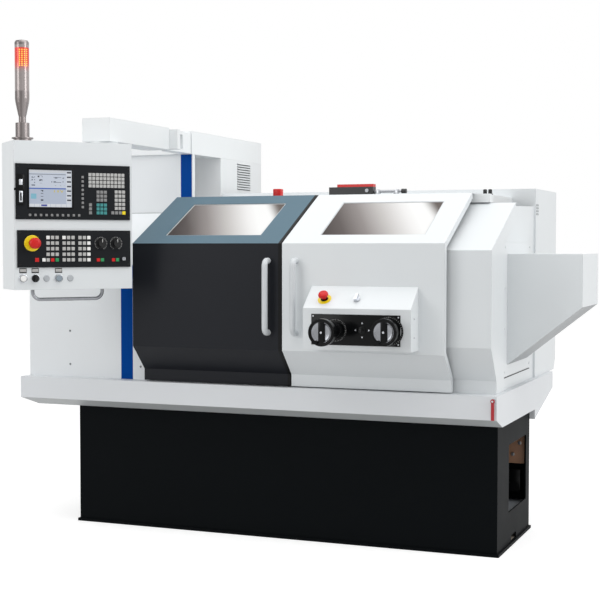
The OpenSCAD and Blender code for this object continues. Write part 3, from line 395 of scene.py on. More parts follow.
def window_pane():
    finish = Finish("window_pane", Coat_Weight=0.04, Coat_Roughness=0.03, Specular_IOR_Level=0.05)
    where = finish.place()
    x, _, z = finish.axes(where)
    along = x.maths("MODULO", x - WINDOW_LEFT, WINDOW_RIGHT - WINDOW_LEFT) / WINDOW_WIDE
    up = (z - WINDOW_LOW) / WINDOW_RISE
    glare = along + 0.34 * up + 0.02 * finish.noise(where, 4.0)
    look = finish.ramp(glare, [
        (0.0, rgb(57, 50, 48)), (0.24, rgb(86, 79, 77)), (0.46, rgb(131, 125, 123)),
        (0.69, rgb(180, 177, 175)), (0.91, rgb(216, 215, 214)), (1.0, rgb(224, 224, 223))])
    corner = (along + 0.4 * up).step(1.15, 1.31)
    finish.feed("Base Color", finish.mix(corner, look, opaque(92, 84, 80)))
    finish.feed("Roughness", 0.12 + 0.05 * finish.noise(where, 30.0))
    return finish.material


pane = window_pane()
print("window panes ready")

# %% [markdown]
# The signal tower is a metal tube whose light and dark bands along it are a painted reflection: tones
# by the angle round its axis. Its lamp tube shows the same painted reflection, only fainter, under a
# red glow near the top.

# %% Signal tower
TOWER_X, TOWER_Y = -0.8376, -0.8956
# Tones of the painted reflection, by the angle round the tower.
TUBE_REFLECTION = [(0.0, rgb(130, 124, 123)), (0.25, rgb(160, 152, 151)), (0.32, rgb(78, 72, 72)),
        (0.39, rgb(206, 199, 198)), (0.46, rgb(168, 160, 159)), (0.55, rgb(140, 133, 132)),
        (0.64, rgb(184, 176, 175)), (0.73, rgb(112, 106, 105))]


def painted_tower_reflection(finish, where):
    """The tube's painted reflection, in tones once round the tower's axis from its back."""
    x, y, _ = finish.axes(where)
    turn = x.maths("ARCTAN2", y - TOWER_Y, x - TOWER_X) / (2 * pi)
    return finish.ramp((turn + 1.156 + 0.012 * finish.noise(where, 30.0)).fract(), TUBE_REFLECTION)


def tube_with_painted_reflection():
    finish = Finish("tube_with_painted_reflection", Metallic=1.0)
    where = finish.place()
    finish.feed("Base Color", painted_tower_reflection(finish, where))
    finish.feed("Roughness", 0.30 + 0.08 * finish.noise(where, 40.0))
    finish.relief(finish.noise(where, 200.0), 0.02, 0.0003, 0.001)
    return finish.material


def lamp_tube():
    """Lit red in its upper part, up to the cap."""
    finish = Finish("lamp_tube", Roughness=0.16, Metallic=0.4, Emission_Strength=0.22)
    where = finish.place()
    z = finish.axes(where)[2]
    glow = (z + 0.02 * finish.noise(where, 60.0)).step(1.925, 1.975)
    cap = z.step(2.012, 2.016)
    lit = glow * (1.0 - cap)
    # The clear tube carries the same painted reflection, only fainter.
    clear = finish.mix(0.45, painted_tower_reflection(finish, where), opaque(176, 166, 164))
    finish.feed("Base Color", finish.mix(lit, clear, opaque(196, 62, 54)))
    unlit = (0.01, 0.008, 0.006, 1)
    finish.feed("Emission Color", finish.mix(lit, unlit, opaque(214, 52, 40)))
    return finish.material


tower_metal = tube_with_painted_reflection()
lens = lamp_tube()
print("signal tower finishes ready")

# %% [markdown]
# The door switch is one solid with several colours: a black body, a red strip along its top, a steel
# button, and a steel bolt with a black end. Masks by place tell them apart.

# %% Door switch
def door_switch():
    finish = Finish("door_switch")
    where = finish.place()
    x, y, z = finish.axes(where)
    strip = z > 1.4838
    bolt = (x > 0.3283) * (x < 0.4505)
    button = (x > 0.29) * (x < 0.312) * (y < 0.0048)
    bare = bolt.maths("MAXIMUM", bolt, button)
    base = finish.mix(strip, opaque(24, 25, 27), opaque(196, 34, 30))
    finish.feed("Base Color", finish.mix(bare, base, opaque(158, 160, 164)))
    finish.feed("Metallic", bare * 0.7)
    finish.feed("Roughness", 0.32 + 0.1 * finish.noise(where, 40.0))
    finish.relief(finish.noise(where, 700.0), 0.1, 0.0003, 0.001)
    return finish.material


switch_finish = door_switch()
print("door switch finish ready")

# %% [markdown]
# Every CAD solid gets one of these finishes. A dictionary keeps the choice readable: the finish first,
# then the solids that wear it.

# %% Dress the solids
worn = {
    black_coat: "base_stand",
    sill_coat: "chip_tray",
    stripe_coat: "headstock_cabinet upper_panel",
    cabinet_coat: "electrical_cabinet",
    hood_coat: "end_hood",
    grey_coat_with_painted_light: "cabinet_roof arm_bracket pendant_arm roof_rail",
    grey_coat: "rear_housing right_guard end_wall right_door handwheel_box control_box",
    dark_coat: "left_door",
    tank_coat: "coolant_unit",
    motor_coat: "main_motor feed_motor",
    cast_iron: "bed headstock carriage cross_slide tailstock",
    steel: "spindle spindle_pulley chuck chuck_jaw_1 chuck_jaw_2 chuck_jaw_3 motor_pulley tool_disc "
           "lead_screw quill drain_valve key_switch",
    bright: "tailstock_wheel",
    satin: "mode_switch",
    dish: "grab_handle",
    handle_coat: "left_handle right_handle",
    tower_metal: "signal_tower",
    rubber: "drive_belt",
    plastic_black: "long_handwheel short_handwheel",
    panel_black: "operator_panel machine_panel",
    knob_black: "feed_knob spindle_knob selector_switch",
    red: "door_stop_button panel_stop_button",
    lever_red: "valve_lever",
    white: "white_button",
    blue_grey: "grey_button",
    pane: "left_window right_window",
    lens: "tower_lens",
    switch_finish: "interlock",
}
dressed = set()
for finish, names in worn.items():
    for name in names.split():
        solid = nodes[name]
        if not solid.material_slots:
            solid.data.materials.append(finish)
        for held in solid.material_slots:
            held.material = finish
        dressed.add(name)
print("dressed", len(dressed), "left", sorted(set(nodes) - dressed))

# %% [markdown]
# New parts are drawn with bmesh operators. A block is a cube that is scaled and bevelled, and a tick
# is a plain one, for the marks of a scale. A turned part is a profile that is spun.

# %% Blocks and turned parts
def at(x, y, z):
    return Matrix.Translation((x, y, z))


FORWARD = Matrix.Rotation(radians(90), 4, "X")
SIDE = Matrix.Rotation(radians(90), 4, "Y")


def paint(verts, mat):
    for face in {f for v in verts for f in v.link_faces}:
        face.material_index = mat


def block(bm, low, high, bevel=0.0, segments=2, mat=0, place=None):
    low, high = Vector(low), Vector(high)
    made = bmesh.ops.create_cube(bm, size=1.0)["verts"]
    bmesh.ops.scale(bm, vec=high - low, verts=made)
    bmesh.ops.translate(bm, vec=(low + high) / 2, verts=made)
    if place:
        bmesh.ops.transform(bm, matrix=place, verts=made)
    paint(made, mat)
    if bevel:
        edges = list({e for v in made for e in v.link_edges})
        bmesh.ops.bevel(bm, geom=edges, offset=bevel, segments=segments, affect="EDGES", profile=0.5,
                        material=-1)


def tick(bm, size, place, mat):
    made = bmesh.ops.create_cube(bm, size=1.0)["verts"]
    bmesh.ops.scale(bm, vec=size, verts=made)
    bmesh.ops.transform(bm, matrix=place, verts=made)
    paint(made, mat)


def turned(bm, profile, place=Matrix(), steps=32, mat=0):
    """Spin a profile of (radius, height) points about Z, then move it to its place."""
    line = [bm.verts.new((r, 0, h)) for r, h in profile]
    edges = [bm.edges.new(pair) for pair in zip(line, line[1:])]
    old = set(bm.faces)
    bmesh.ops.spin(bm, geom=line + edges, cent=(0, 0, 0), axis=(0, 0, 1), angle=2 * pi, steps=steps,
                   use_merge=True)
    faces = [f for f in bm.faces if f not in old]
    verts = list({v for f in faces for v in f.verts})
    bmesh.ops.transform(bm, matrix=place, verts=verts)
    for f in faces:
        f.material_index = mat
    bmesh.ops.remove_doubles(bm, verts=verts, dist=1e-6)


print("blocks and turned parts ready")

# %% [markdown]
# A pressed frame is a face that is inset and pulled up, and a screw head is a small turned part with a
# socket. One function ends each part: it moves the mesh to its place, turns the faces outwards, and
# lets the part ride on its body.

# %% Frames, screws and the last step
def rim(bm, width, height, band, depth, bevel=0.0008):
    """A flat frame in the XY plane with its outer corner at the origin, depth thick along Z."""
    before = set(bm.faces)
    sheet = bmesh.ops.create_grid(bm, x_segments=1, y_segments=1, size=0.5)["verts"]
    bmesh.ops.scale(bm, vec=(width, height, 1), verts=sheet)
    bmesh.ops.translate(bm, vec=(width / 2, height / 2, 0), verts=sheet)
    face = sheet[0].link_faces[0]
    flat = bmesh.ops.inset_region(bm, faces=[face], thickness=band, use_boundary=True,
                                  use_even_offset=True)["faces"]
    middle = [f for f in bm.faces if f not in before and f not in flat]
    bmesh.ops.delete(bm, geom=middle, context="FACES")
    up = bmesh.ops.extrude_face_region(bm, geom=flat, use_keep_orig=True)["geom"]
    top = [g for g in up if isinstance(g, bmesh.types.BMVert)]
    bmesh.ops.translate(bm, vec=(0, 0, depth), verts=top)
    edges = [e for e in {e for v in top for e in v.link_edges} if all(v in top for v in e.verts)
             and len(e.link_faces) == 2 and e.calc_face_angle(0) > 0.5]
    bmesh.ops.bevel(bm, geom=edges, offset=bevel, segments=2, affect="EDGES", profile=0.5,
                    material=-1)


def screw_head(bm, place, radius, height, mat=0):
    floor = height * 0.35
    profile = [(0, floor), (radius * 0.45, floor), (radius * 0.5, height), (radius * 0.8, height),
               (radius, height * 0.6), (radius, 0)]
    turned(bm, profile, place, steps=12, mat=mat)


def finish_piece(name, bm, body, *finishes, place=None):
    """Move the mesh to its place, close it up and let it ride on a body."""
    if place:
        bmesh.ops.transform(bm, matrix=place, verts=bm.verts)
    bmesh.ops.recalc_face_normals(bm, faces=bm.faces)
    mesh = bpy.data.meshes.new(name)
    bm.to_mesh(mesh)
    bm.free()
    for finish in finishes:
        mesh.materials.append(finish)
    mesh.shade_smooth()
    mesh.set_sharp_from_angle(angle=radians(35))
    piece = bpy.data.objects.new(name, mesh)
    scene.collection.objects.link(piece)
    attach(piece, body)
    print(name, len(mesh.polygons), "faces on", body)


print("frames, screws and the last step ready")

# %% [markdown]
# Each window is sealed by a thin bead of rubber in the edge of its opening; the bead is real, and its
# pale tone is a painted highlight along the window's edge. A frame that is inset from one face and
# pulled up by a millimetre or two is enough.

# %% Window gaskets
SLOPE_RISE, SLOPE_RUN = 0.208, 0.410
FOLD_Y, FOLD_Z = -0.485, 1.240


def on_slope(x):
    """A place on the doors' slope, at the fold where it begins."""
    return at(x, FOLD_Y, FOLD_Z) @ Matrix.Rotation(atan2(SLOPE_RISE, SLOPE_RUN), 4, "X")


for side, x, body in (("left", WINDOW_LEFT, "left_leaf"), ("right", WINDOW_RIGHT, "right_leaf")):
    bm = bmesh.new()
    rim(bm, WINDOW_WIDE, 0.305, 0.0035, 0.0018, bevel=0.0004)
    finish_piece(side + "_gasket", bm, body, bead, place=on_slope(x) @ at(0, 0.075, -0.0030))

# %% [markdown]
# The handwheel box carries a black face plate with softened edges, a screw in each corner, and a
# scale ring round each wheel. The rings are turned, and their marks are small raised blocks, one in
# five longer.

# %% Face plate
LONG_X, SHORT_X, WHEEL_Z = 0.377, 0.594, 0.903
PLATE_Y = -0.5868
MARKS = 40
bm = bmesh.new()
block(bm, (0.276, PLATE_Y, 0.845), (0.640, -0.5851, 0.965), bevel=0.0006)
for x, outer in ((LONG_X, 0.046), (SHORT_X, 0.058)):
    inner, thick = outer - 0.008, 0.0006
    ring = at(x, PLATE_Y, WHEEL_Z) @ FORWARD
    turned(bm, [(inner, 0.0), (inner, thick), (outer, thick), (outer, 0.0)], ring, steps=48, mat=1)
    for i in range(MARKS):
        reach = 0.0045 if i % 5 == 0 else 0.0025
        turn = Matrix.Rotation(2 * pi * i / MARKS, 4, "Z")
        tick(bm, (0.0006, reach, 0.0005), ring @ turn @ at(0, outer - 0.004, 0.0007), mat=2)
for x in (0.284, 0.632):
    for z in (0.853, 0.957):
        screw_head(bm, at(x, PLATE_Y, z) @ FORWARD, 0.0032, 0.0016, mat=3)
finish_piece("handwheel_plate", bm, "right_leaf", plastic_black, knob_black, white, steel)

# %% [markdown]
# Between the wheels a small gated lever picks the feed. It is a turned boss with a tapered stick and a
# ball, and four arrows stand round it.

# %% Feed lever
bm = bmesh.new()
seat = at(0.486, PLATE_Y, 0.905) @ FORWARD
turned(bm, [(0, 0.004), (0.013, 0.004), (0.016, 0.002), (0.016, 0)], seat, mat=0)
turned(bm, [(0, 0.030), (0.004, 0.0295), (0.0065, 0.026), (0.0065, 0.022), (0.0042, 0.018),
            (0.0032, 0.003), (0, 0.003)], seat, steps=20, mat=1)
for angle in (0, 90, 180, 270):
    arrow = seat @ Matrix.Rotation(radians(angle), 4, "Z") @ at(0, 0.027, 0)
    made = bmesh.ops.create_cone(bm, cap_ends=True, segments=3, radius1=0.0048, radius2=0.0048,
                                 depth=0.0006, matrix=arrow)["verts"]
    paint(made, 2)
finish_piece("feed_lever", bm, "right_leaf", plastic_black, knob_black, satin)

# %% [markdown]
# Each handwheel has a bright dish behind its grip bar, with a screw in the middle. The dish is one
# spun profile, a shallow bowl with a raised rim, and a rounded black rim is spun round it.

# %% Wheel dishes
BAR_HALF_WIDE, BAR_HALF_LONG = 0.0122, 0.0425
bowl = [(0, 0.0), (0.028, 0.0002), (0.036, 0.0022), (0.0385, 0.0046), (0.0400, 0.0046),
        (0.0400, -0.0004)]
tyre = [(0.0398, 0.0046), (0.0425, 0.0078), (0.0460, 0.0094), (0.0500, 0.0088), (0.0525, 0.0060),
        (0.0527, 0.0), (0.0527, -0.012)]
for name, x, front, body in (("long", LONG_X, -0.745, "long_wheel"),
                             ("short", SHORT_X, -0.655, "short_wheel")):
    bm = bmesh.new()
    face = front - 0.0006
    place = at(x, front + 0.0075, WHEEL_Z) @ FORWARD
    turned(bm, bowl, place, steps=48, mat=0)
    turned(bm, tyre, place, steps=48, mat=1)
    block(bm, (x - BAR_HALF_WIDE, face, WHEEL_Z - BAR_HALF_LONG),
          (x + BAR_HALF_WIDE, front + 0.0070, WHEEL_Z + BAR_HALF_LONG), bevel=0.004, segments=3,
          mat=1)
    screw_head(bm, at(x, face, WHEEL_Z) @ FORWARD, 0.0042, 0.0014, mat=2)
    finish_piece(name + "_wheel_dish", bm, body, dish, plastic_black, steel)

# %% [markdown]
# A stop button is a red mushroom on a black neck, over a yellow disc. The red head is a CAD solid that
# can be pressed. The neck and the disc stay still, so they ride on what carries the button.

# %% Stop button collar
BOX_TILT = atan2(0.084, 0.100)
top_of_box = at(0.316, -0.585, 0.987) @ Matrix.Rotation(BOX_TILT, 4, "X") @ at(0, 0.052, 0)
neck = [(0.0086, 0.0054), (0.0128, 0.0054), (0.0136, 0.0046), (0.0150, 0.0026), (0.0150, 0.0)]
disc = [(0.0086, 0.0024), (0.0265, 0.0024), (0.0275, 0.0014), (0.0275, 0.0002)]
bm = bmesh.new()
turned(bm, neck, top_of_box, mat=1)
turned(bm, disc, top_of_box, steps=48, mat=0)
finish_piece("door_stop_collar", bm, "right_leaf", yellow, plastic_black)

# %% [markdown]
# The control box is turned on its swivel, so its parts are drawn in a frame of their own: X across the
# face, Y into the box and Z up. One matrix takes them to their place. The operator panel's keys come
# in fields, which are measured in millimetres from the panel's top left corner.

# %% Operator keys
MM = 0.001
CONTROL = at(-0.664, -0.560, 0) @ Matrix.Rotation(radians(48.5), 4, "Z") @ at(-0.181, -0.142, 0)
OP_U, OP_TOP, MP_U, MP_LOW = -0.229, 1.555, -0.224, 1.144
PANEL = 0.006


def on_face(u, z, out=0.0):
    return CONTROL @ at(u, -out, z) @ FORWARD


def key(bm, u, z, size, mat):
    """A keycap that covers one of the CAD's key blocks."""
    half = size / 2 + 0.0004
    block(bm, (u - half, -PANEL - 0.0028, z - half), (u + half, -PANEL + 0.0002, z + half),
          bevel=0.0009, segments=1, mat=mat)


def key_field(bm, across, down, cols, rows, pitch, size, mat):
    for i in range(cols):
        for j in range(rows):
            u, z = OP_U + (across + i * pitch[0]) * MM, OP_TOP - (down + j * pitch[1]) * MM
            key(bm, u, z, size * MM, mat)


bm = bmesh.new()
key_field(bm, 272, 49, 1, 8, (0, 17.2), 9, mat=1)
key_field(bm, 56, 203, 10, 1, (22.3, 0), 9, mat=1)
key_field(bm, 303, 38, 10, 4, (15.4, 15.2), 12, mat=0)
key_field(bm, 336, 108, 3, 3, (15.5, 16), 12, mat=1)
key_field(bm, 336, 160, 3, 3, (15.5, 16), 12, mat=2)
key_field(bm, 304, 160, 1, 3, (0, 16), 12, mat=1)
key_field(bm, 413, 106, 3, 5, (15.6, 16.7), 12, mat=0)
key_field(bm, 398, 191, 3, 1, (15.8, 0), 12, mat=1)
key_field(bm, 445.4, 191, 1, 1, (0, 0), 13, mat=3)
finish_piece("operator_keys", bm, "control", key_light, key_grey, teal, yellow, place=CONTROL)

# %% [markdown]
# The machine keys stand in three groups of three by five, with coloured start and stop keys in the
# bottom row. Under each of the two dials there is one more pair of these.

# %% Machine keys
DIALS_U = (0.118, 0.182)
KEY = 13 * MM
bm = bmesh.new()
for group in range(3):
    for col in range(3):
        for row in range(5):
            pale = (group < 2 and col == row == 0) or (group, col) == (2, 2)
            mat = 1 if pale else 0
            if (group, row) == (0, 4) and col > 0:
                mat = 1 + col
            u = MP_U + (123 + 65.6 * group + 18.5 * col) * MM
            key(bm, u, MP_LOW + (119 - 22.3 * row) * MM, KEY, mat)
key(bm, MP_U + 78 * MM, MP_LOW + 30 * MM, 15 * MM, mat=2)
key(bm, MP_U + 106 * MM, MP_LOW + 30 * MM, KEY, mat=1)
for u in DIALS_U:
    key(bm, u - 11 * MM, MP_LOW + 29 * MM, KEY, mat=2)
    key(bm, u + 6 * MM, MP_LOW + 29 * MM, KEY, mat=3)
finish_piece("machine_keys", bm, "control", key_light, white, red, green, place=CONTROL)

# %% [markdown]
# The screen shows two panes of figures over a blue bar, with a column and a row of key labels. All of
# it is drawn from the piece's own UV map with boxes and repeated bars: no picture is used, and the
# marks are no real words.

# %% Screen image
def screen_finish():
    finish = Finish("screen_image", Roughness=0.12, Emission_Strength=0.55, Coat_Weight=0.6,
                    Coat_Roughness=0.03)
    uv = finish.node("ShaderNodeTexCoord", {}, {})["UV"]
    u, v, _ = finish.axes(uv)

    def area(u0, u1, v0, v1):
        return (u > u0) * (u < u1) * (v > v0) * (v < v1)

    def rows(count, fill):
        return (v * count).fract() < fill

    cells = finish.node("ShaderNodeVectorMath", {"operation": "SNAP"}, {0: uv, 1: (0.03, 0.04, 1.0)})
    ragged = finish.noise(cells["Vector"], 40.0) > 0.5
    look = finish.mix(v > 0.52, opaque(176, 186, 204), opaque(196, 204, 218))
    for spot, colour in (
        (area(0.0, 0.86, 0.93, 1.0), opaque(206, 210, 216)),
        (area(0.0, 0.86, 0.875, 0.895), opaque(120, 128, 140)),
        (area(0.0, 0.86, 0.485, 0.515), opaque(40, 84, 176)),
        (area(0.04, 0.17, 0.22, 0.36), opaque(120, 180, 200)),
        (area(0.03, 0.14, 0.56, 0.85) * rows(14, 0.45) * ragged, opaque(90, 98, 116)),
        (area(0.20, 0.31, 0.56, 0.85) * rows(10, 0.45) * ragged, opaque(40, 44, 56)),
        (area(0.52, 0.82, 0.58, 0.84) * rows(9, 0.3) * ragged, opaque(80, 88, 104)),
        (area(0.27, 0.33, 0.16, 0.46) * rows(12, 0.5) * ragged, opaque(40, 44, 56)),
        (area(0.58, 0.80, 0.40, 0.46) * ragged, opaque(200, 180, 60)),
        (area(0.0, 1.0, 0.0, 0.085) * ((u * 8.0).fract() < 0.93), opaque(216, 220, 226)),
        (area(0.28, 0.42, 0.02, 0.07), opaque(60, 70, 150)),
        (area(0.87, 1.0, 0.09, 1.0) * rows(8, 0.90), opaque(214, 219, 226)),
        (area(0.885, 0.985, 0.09, 1.0) * ((v * 8.0 + 0.65).fract() < 0.36), opaque(58, 62, 76)),
    ):
        look = finish.mix(spot, look, colour)
    finish.feed("Base Color", finish.mix(0.65, look, BLACK))
    finish.feed("Emission Color", look)
    return finish.material


screen_image = screen_finish()
print("screen image ready")

# %% [markdown]
# The screen itself is one flat sheet that carries a UV map. A thin black frame lies over its edge.

# %% Screen
bm = bmesh.new()
bm.loops.layers.uv.new("screen")
made = bmesh.ops.create_grid(bm, x_segments=1, y_segments=1, size=0.5, calc_uvs=True)["verts"]
bmesh.ops.scale(bm, vec=(0.174, 0.147, 1), verts=made)
finish_piece("screen", bm, "control", screen_image,
             place=on_face(OP_U + 0.141, OP_TOP - 0.0975, PANEL - 0.0022))
bm = bmesh.new()
rim(bm, 0.188, 0.161, 0.007, 0.0016)
finish_piece("screen_frame", bm, "control", plastic_black,
             place=on_face(OP_U + 0.047, OP_TOP - 0.178, PANEL - 0.0004))

# %% [markdown]
# Down the left edge of the operator panel runs a flap over the card and data sockets. Two bright
# connectors show through it, and a small tab at its side opens it. Both panels are held by a screw in
# each corner.

# %% Port flap
bm = bmesh.new()
block(bm, (OP_U + 0.003, -0.0125, 1.392), (OP_U + 0.034, -PANEL, 1.512), bevel=0.002, mat=0)
block(bm, (OP_U + 0.012, -0.0132, 1.470), (OP_U + 0.026, -0.0120, 1.492), bevel=0.0008, mat=1)
block(bm, (OP_U + 0.012, -0.0132, 1.402), (OP_U + 0.026, -0.0120, 1.446), bevel=0.0008, mat=1)
block(bm, (OP_U + 0.016, -0.0136, 1.408), (OP_U + 0.022, -0.0128, 1.440), mat=0)
block(bm, (OP_U - 0.0055, -0.0030, 1.449), (OP_U + 0.001, 0.0, 1.458), bevel=0.0008, mat=0)
for left, right, low, high in (
    (OP_U + 0.010, OP_U + 0.465, OP_TOP - 0.208, OP_TOP - 0.012),
    (MP_U + 0.010, MP_U + 0.458, MP_LOW + 0.010, MP_LOW + 0.138),
):
    for u, z in ((left, high), (right, high), (left, low), (right, low)):
        screw_head(bm, at(u, -PANEL, z) @ FORWARD, 0.0036, 0.002, mat=2)
finish_piece("port_flap", bm, "control", plastic_black, satin, knob_black, place=CONTROL)

# %% [markdown]
# The stop button on the panel stands on a large yellow disc, and each dial has a ring of white marks.
# Below the panel, three of the buttons have a bright bezel and a bare black label plate above it, and
# two holes between them are closed by plugs.

# %% Dials, bezels and plates
DIAL_Z = MP_LOW + 0.096
BUTTON_Z = 1.100
bm = bmesh.new()
stop = on_face(-0.165, DIAL_Z, PANEL)
turned(bm, [(0.0086, 0.0036), (0.0312, 0.0036), (0.0323, 0.0026), (0.0323, 0.0)], stop, steps=48,
       mat=0)
turned(bm, [(0.0086, 0.0054), (0.0130, 0.0054), (0.0150, 0.0036), (0.0150, 0.0)], stop, mat=1)
for u in DIALS_U:
    for angle in range(-150, 151, 15):
        turn = Matrix.Rotation(radians(angle), 4, "Z")
        tick(bm, (0.0012, 0.0032, 0.0006), on_face(u, DIAL_Z, PANEL) @ turn @ at(0, 0.0246, 0.0012),
             mat=2)
plug = [(0, 0.0037), (0.0103, 0.0037), (0.0134, 0.0006), (0.0134, 0.0)]
for u in (-0.106, -0.009):
    turned(bm, plug, on_face(u, BUTTON_Z), steps=40, mat=5)
bezel = [(0.0152, 0.0034), (0.0158, 0.0040), (0.0172, 0.0034), (0.0178, 0.0)]
for u in (-0.201, -0.152, -0.057):
    turned(bm, bezel, on_face(u, BUTTON_Z), steps=40, mat=3)
    block(bm, (u - 0.0145, -0.0012, 1.122), (u + 0.0145, 0.0, 1.141), bevel=0.0005, mat=1,
          place=CONTROL)
    block(bm, (u - 0.0125, -0.0016, 1.126), (u + 0.0125, -0.0011, 1.138), bevel=0.0002, mat=4,
          place=CONTROL)
finish_piece("panel_details", bm, "control", yellow, plastic_black, white, bright, key_light,
             plug_grey)

# %% [markdown]
# The knobs' pointers carry a white line. It rides on each knob, so it turns with the dial.

# %% Knob pointers
for name, u, body in zip(("feed_pointer", "spindle_pointer"), DIALS_U, ("feed_dial", "spindle_dial")):
    bm = bmesh.new()
    block(bm, (-0.0009, 0.004, 0.0236), (0.0009, 0.0180, 0.0243), bevel=0.0002)
    finish_piece(name, bm, body, white, place=on_face(u, DIAL_Z, PANEL))

# %% [markdown]
# The upper part of the lamp tube is full of small amber lamps in upright rows. They stand at its skin,
# so they read as spots of light in the red glow.

# %% Lamp columns
amber = Finish("amber_lamp", Roughness=0.3, Emission_Strength=0.8)
spot = amber.noise(amber.place(), 300.0)
amber.feed("Base Color", amber.mix(spot, opaque(240, 150, 50), opaque(250, 190, 90)))
amber.feed("Emission Color", amber.mix(spot, opaque(250, 140, 40), opaque(255, 205, 90)))
tower = CONTROL @ at(-0.185, 0.050, 0)
bm = bmesh.new()
for row in range(9):
    for angle in (-34, -14, 6, 26):
        turn = Matrix.Rotation(radians(angle - 90), 4, "Z")
        block(bm, (0.0270, -0.0028, 0), (0.0287, 0.0028, 0.0056), bevel=0.0006, segments=1,
              place=tower @ turn @ at(0, 0, 1.940 + 0.0078 * row))
finish_piece("lamp_columns", bm, "control", amber.material)

# %% [markdown]
# The cabinet's side breathes through pressed louvres. Each slot gets a small sloping lip, made from a
# block whose lower edge is pulled outwards.

# %% Louvre lips
bm = bmesh.new()
for i in range(11):
    z = 1.514 + 0.0125 * i
    old = set(bm.verts)
    block(bm, (-0.6321, 0.703, z + 0.003), (-0.6308, 0.865, z + 0.0085))
    low_edge = [v for v in bm.verts if v not in old and v.co.z < z + 0.005]
    bmesh.ops.translate(bm, vec=(0.0045, 0, 0), verts=low_edge)
finish_piece("louvre_lips", bm, "frame", grey_coat)

# %% [markdown]
# Small fasteners finish the covers: dark button heads in the cabinet front, painted ones in the end
# cover, and bare ones in the sides of the handwheel box.

# %% Screws
bm = bmesh.new()
for x in (-0.963, -0.610):
    for z in (0.8545, 0.707):
        screw_head(bm, at(x, -0.350, z) @ FORWARD, 0.0045, 0.0025, mat=1)
for y in (-0.195, 0.272):
    for z in (0.725, 0.90, 1.06, 1.225):
        screw_head(bm, at(0.950, y, z) @ SIDE, 0.0055, 0.003)
finish_piece("cover_screws", bm, "frame", grey_coat, tank_coat)
bm = bmesh.new()
for z in (0.878, 0.950):
    screw_head(bm, at(0.681, -0.545, z) @ SIDE, 0.0042, 0.0024)
    screw_head(bm, at(0.240, -0.545, z) @ SIDE.inverted(), 0.0042, 0.0024)
finish_piece("box_screws", bm, "right_leaf", steel)

# %% [markdown]
# On the roof stand a small red release block and two cable grommets.

# %% Roof fittings
ROOF_Z = 1.4417
grommet = [(0, 0.024), (0.006, 0.0235), (0.008, 0.020), (0.008, 0.006), (0.011, 0.004), (0.011, 0)]
bm = bmesh.new()
block(bm, (-0.140, 0.008, ROOF_Z), (-0.104, 0.044, 1.4815), bevel=0.003, mat=0)
for x in (0.814, 0.836):
    turned(bm, grommet, at(x, 0.025, ROOF_Z), mat=1)
finish_piece("roof_fittings", bm, "frame", red, rubber)

# %% [markdown]
# Dark lines mark where sheets meet: a bead under the raised end cover, and one between the upper panel
# and the sloping cabinet below it.

# %% Seams
panel = nodes["upper_panel"]
seam = min((panel.matrix_world @ Vector(corner)).z for corner in panel.bound_box)
bm = bmesh.new()
block(bm, (0.9472, -0.212, 0.6990), (0.9496, 0.286, 0.7018))
block(bm, (-1.170, 0.2036, seam - 0.0012), (-0.700, 0.2056, seam + 0.0008))
finish_piece("seam_beads", bm, "frame", rubber)

# %% [markdown]
# The bolt of the door switch slides in a low guide with two saddles. In the rear housing's end, two
# rows of small plugs close the holes.

# %% Bolt guide and plugs
bm = bmesh.new()
block(bm, (0.332, 0.009, ROOF_Z), (0.446, 0.041, 1.4470), bevel=0.001)
for x in (0.340, 0.425):
    block(bm, (x, 0.014, 1.4468), (x + 0.014, 0.036, 1.4722), bevel=0.003)
finish_piece("bolt_guide", bm, "frame", steel)
plug = [(0, 0.0006), (0.0036, 0.0006), (0.0044, 0.0014), (0.0052, 0.0010), (0.0052, 0)]
bm = bmesh.new()
for i in range(4):
    for y in (0.392, 0.418):
        turned(bm, plug, at(0.9549, y, 1.369 + 0.013 * i) @ SIDE, steps=12)
finish_piece("housing_plugs", bm, "frame", tank_coat)

# %% [markdown]
# Through the opening in the stand's end a little of the coolant pump's wiring shows: a brown terminal
# board with bright studs, a black relay box under it, and a shelf.

# %% Service bay
WALL_Y = 0.2892
nut = [(0, 0.012), (0.0045, 0.012), (0.0045, 0.006), (0.0085, 0.006), (0.0085, 0)]
bm = bmesh.new()
block(bm, (0.752, 0.264, 0.285), (0.936, WALL_Y, 0.425), bevel=0.003, mat=0)
block(bm, (0.760, 0.246, 0.165), (0.922, WALL_Y, 0.262), bevel=0.004, mat=1)
block(bm, (0.752, -0.060, 0.120), (0.9442, WALL_Y, 0.124), bevel=0.001, mat=2)
for i in range(6):
    stud = at(0.770 + 0.029 * i, 0.264, 0.325 + 0.05 * (i % 2)) @ FORWARD
    turned(bm, nut, stud, steps=6, mat=3)
finish_piece("bay_fittings", bm, "frame", board, plastic_black, tank_coat, steel)

# %% [markdown]
# The light is a plain studio: an even pale surround, a wide soft lamp overhead, and one on each side.
# The surround is brighter to the camera and to reflections than it is as a lamp, so the cut-out look
# of the photo comes from it and not from extra light on the machine.

# %% Light
SKY_AS_LAMP, SKY_SEEN = 0.62, 1.0


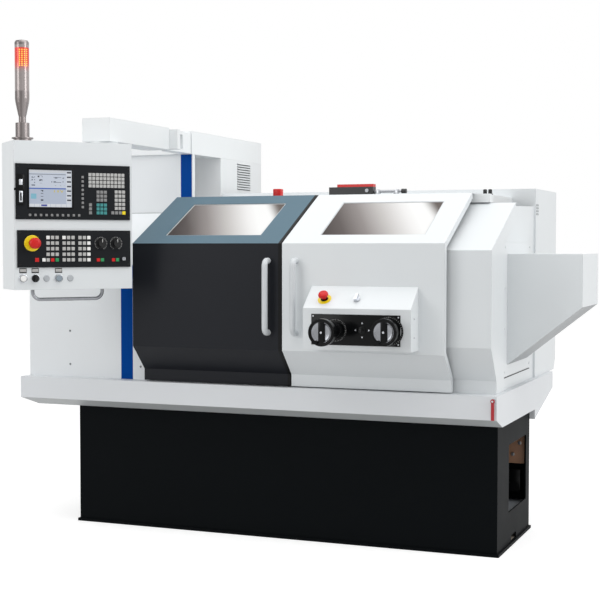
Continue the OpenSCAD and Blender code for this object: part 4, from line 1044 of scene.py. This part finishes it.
def seen_by(tree):
    """1 for rays from the camera, and for rays that a mirror or a clear part sends on."""
    ray = tree.nodes.new("ShaderNodeLightPath")
    first, both = tree.nodes.new("ShaderNodeMath"), tree.nodes.new("ShaderNodeMath")
    first.operation = both.operation = "MAXIMUM"
    tree.links.new(ray.outputs["Is Camera Ray"], first.inputs[0])
    tree.links.new(ray.outputs["Is Glossy Ray"], first.inputs[1])
    tree.links.new(first.outputs["Value"], both.inputs[0])
    tree.links.new(ray.outputs["Is Transmission Ray"], both.inputs[1])
    return both.outputs["Value"]


def lamp(name, place, target, size, watts):
    light = bpy.data.lights.new(name, "AREA")
    light.shape, light.energy = "RECTANGLE", watts
    light.size, light.size_y = size
    lit = bpy.data.objects.new(name, light)
    lit.location = place
    lit.rotation_euler = (Vector(target) - Vector(place)).to_track_quat("-Z", "Y").to_euler()
    scene.collection.objects.link(lit)
    lit.visible_camera = False


world = bpy.data.worlds.new("studio")
scene.world = world
world.use_nodes = True
sky = world.node_tree
power = sky.nodes.new("ShaderNodeMapRange")
power.inputs["To Min"].default_value = SKY_AS_LAMP
power.inputs["To Max"].default_value = SKY_SEEN
sky.links.new(seen_by(sky), power.inputs["Value"])
sky.nodes["Background"].inputs["Color"].default_value = (1, 1, 1, 1)
sky.links.new(power.outputs["Result"], sky.nodes["Background"].inputs["Strength"])
lamp("overhead", (0.3, -0.9, 4.6), (0, 0, 1.0), (5.0, 4.0), 100)
lamp("right_fill", (7.5, -0.5, 4.0), (0.5, 0.2, 1.1), (4.0, 4.0), 190)
lamp("left_fill", (-3.2, -4.6, 2.4), (-0.7, 0.2, 1.4), (2.5, 2.5), 58)
print("surround and three lamps ready")

# %% [markdown]
# The floor is a wide pale sheet a millimetre under the machine. It too gets brighter for the camera,
# by a glow that only seen rays meet.

# %% Floor
PALE = (0.62, 0.62, 0.62, 1)
floor_finish = Finish("studio_floor", Roughness=0.9, Emission_Strength=1.0, Specular_IOR_Level=0.0)
floor_finish.feed("Base Color", PALE)
shown = Val(floor_finish, seen_by(floor_finish.tree))
floor_finish.feed("Emission Color", floor_finish.mix(shown, BLACK, PALE))
bm = bmesh.new()
bmesh.ops.create_grid(bm, x_segments=1, y_segments=1, size=60.0)
sheet = bpy.data.meshes.new("floor")
bm.to_mesh(sheet)
bm.free()
sheet.materials.append(floor_finish.material)
floor = bpy.data.objects.new("floor", sheet)
floor.location.z = -0.001
scene.collection.objects.link(floor)
print("floor ready")
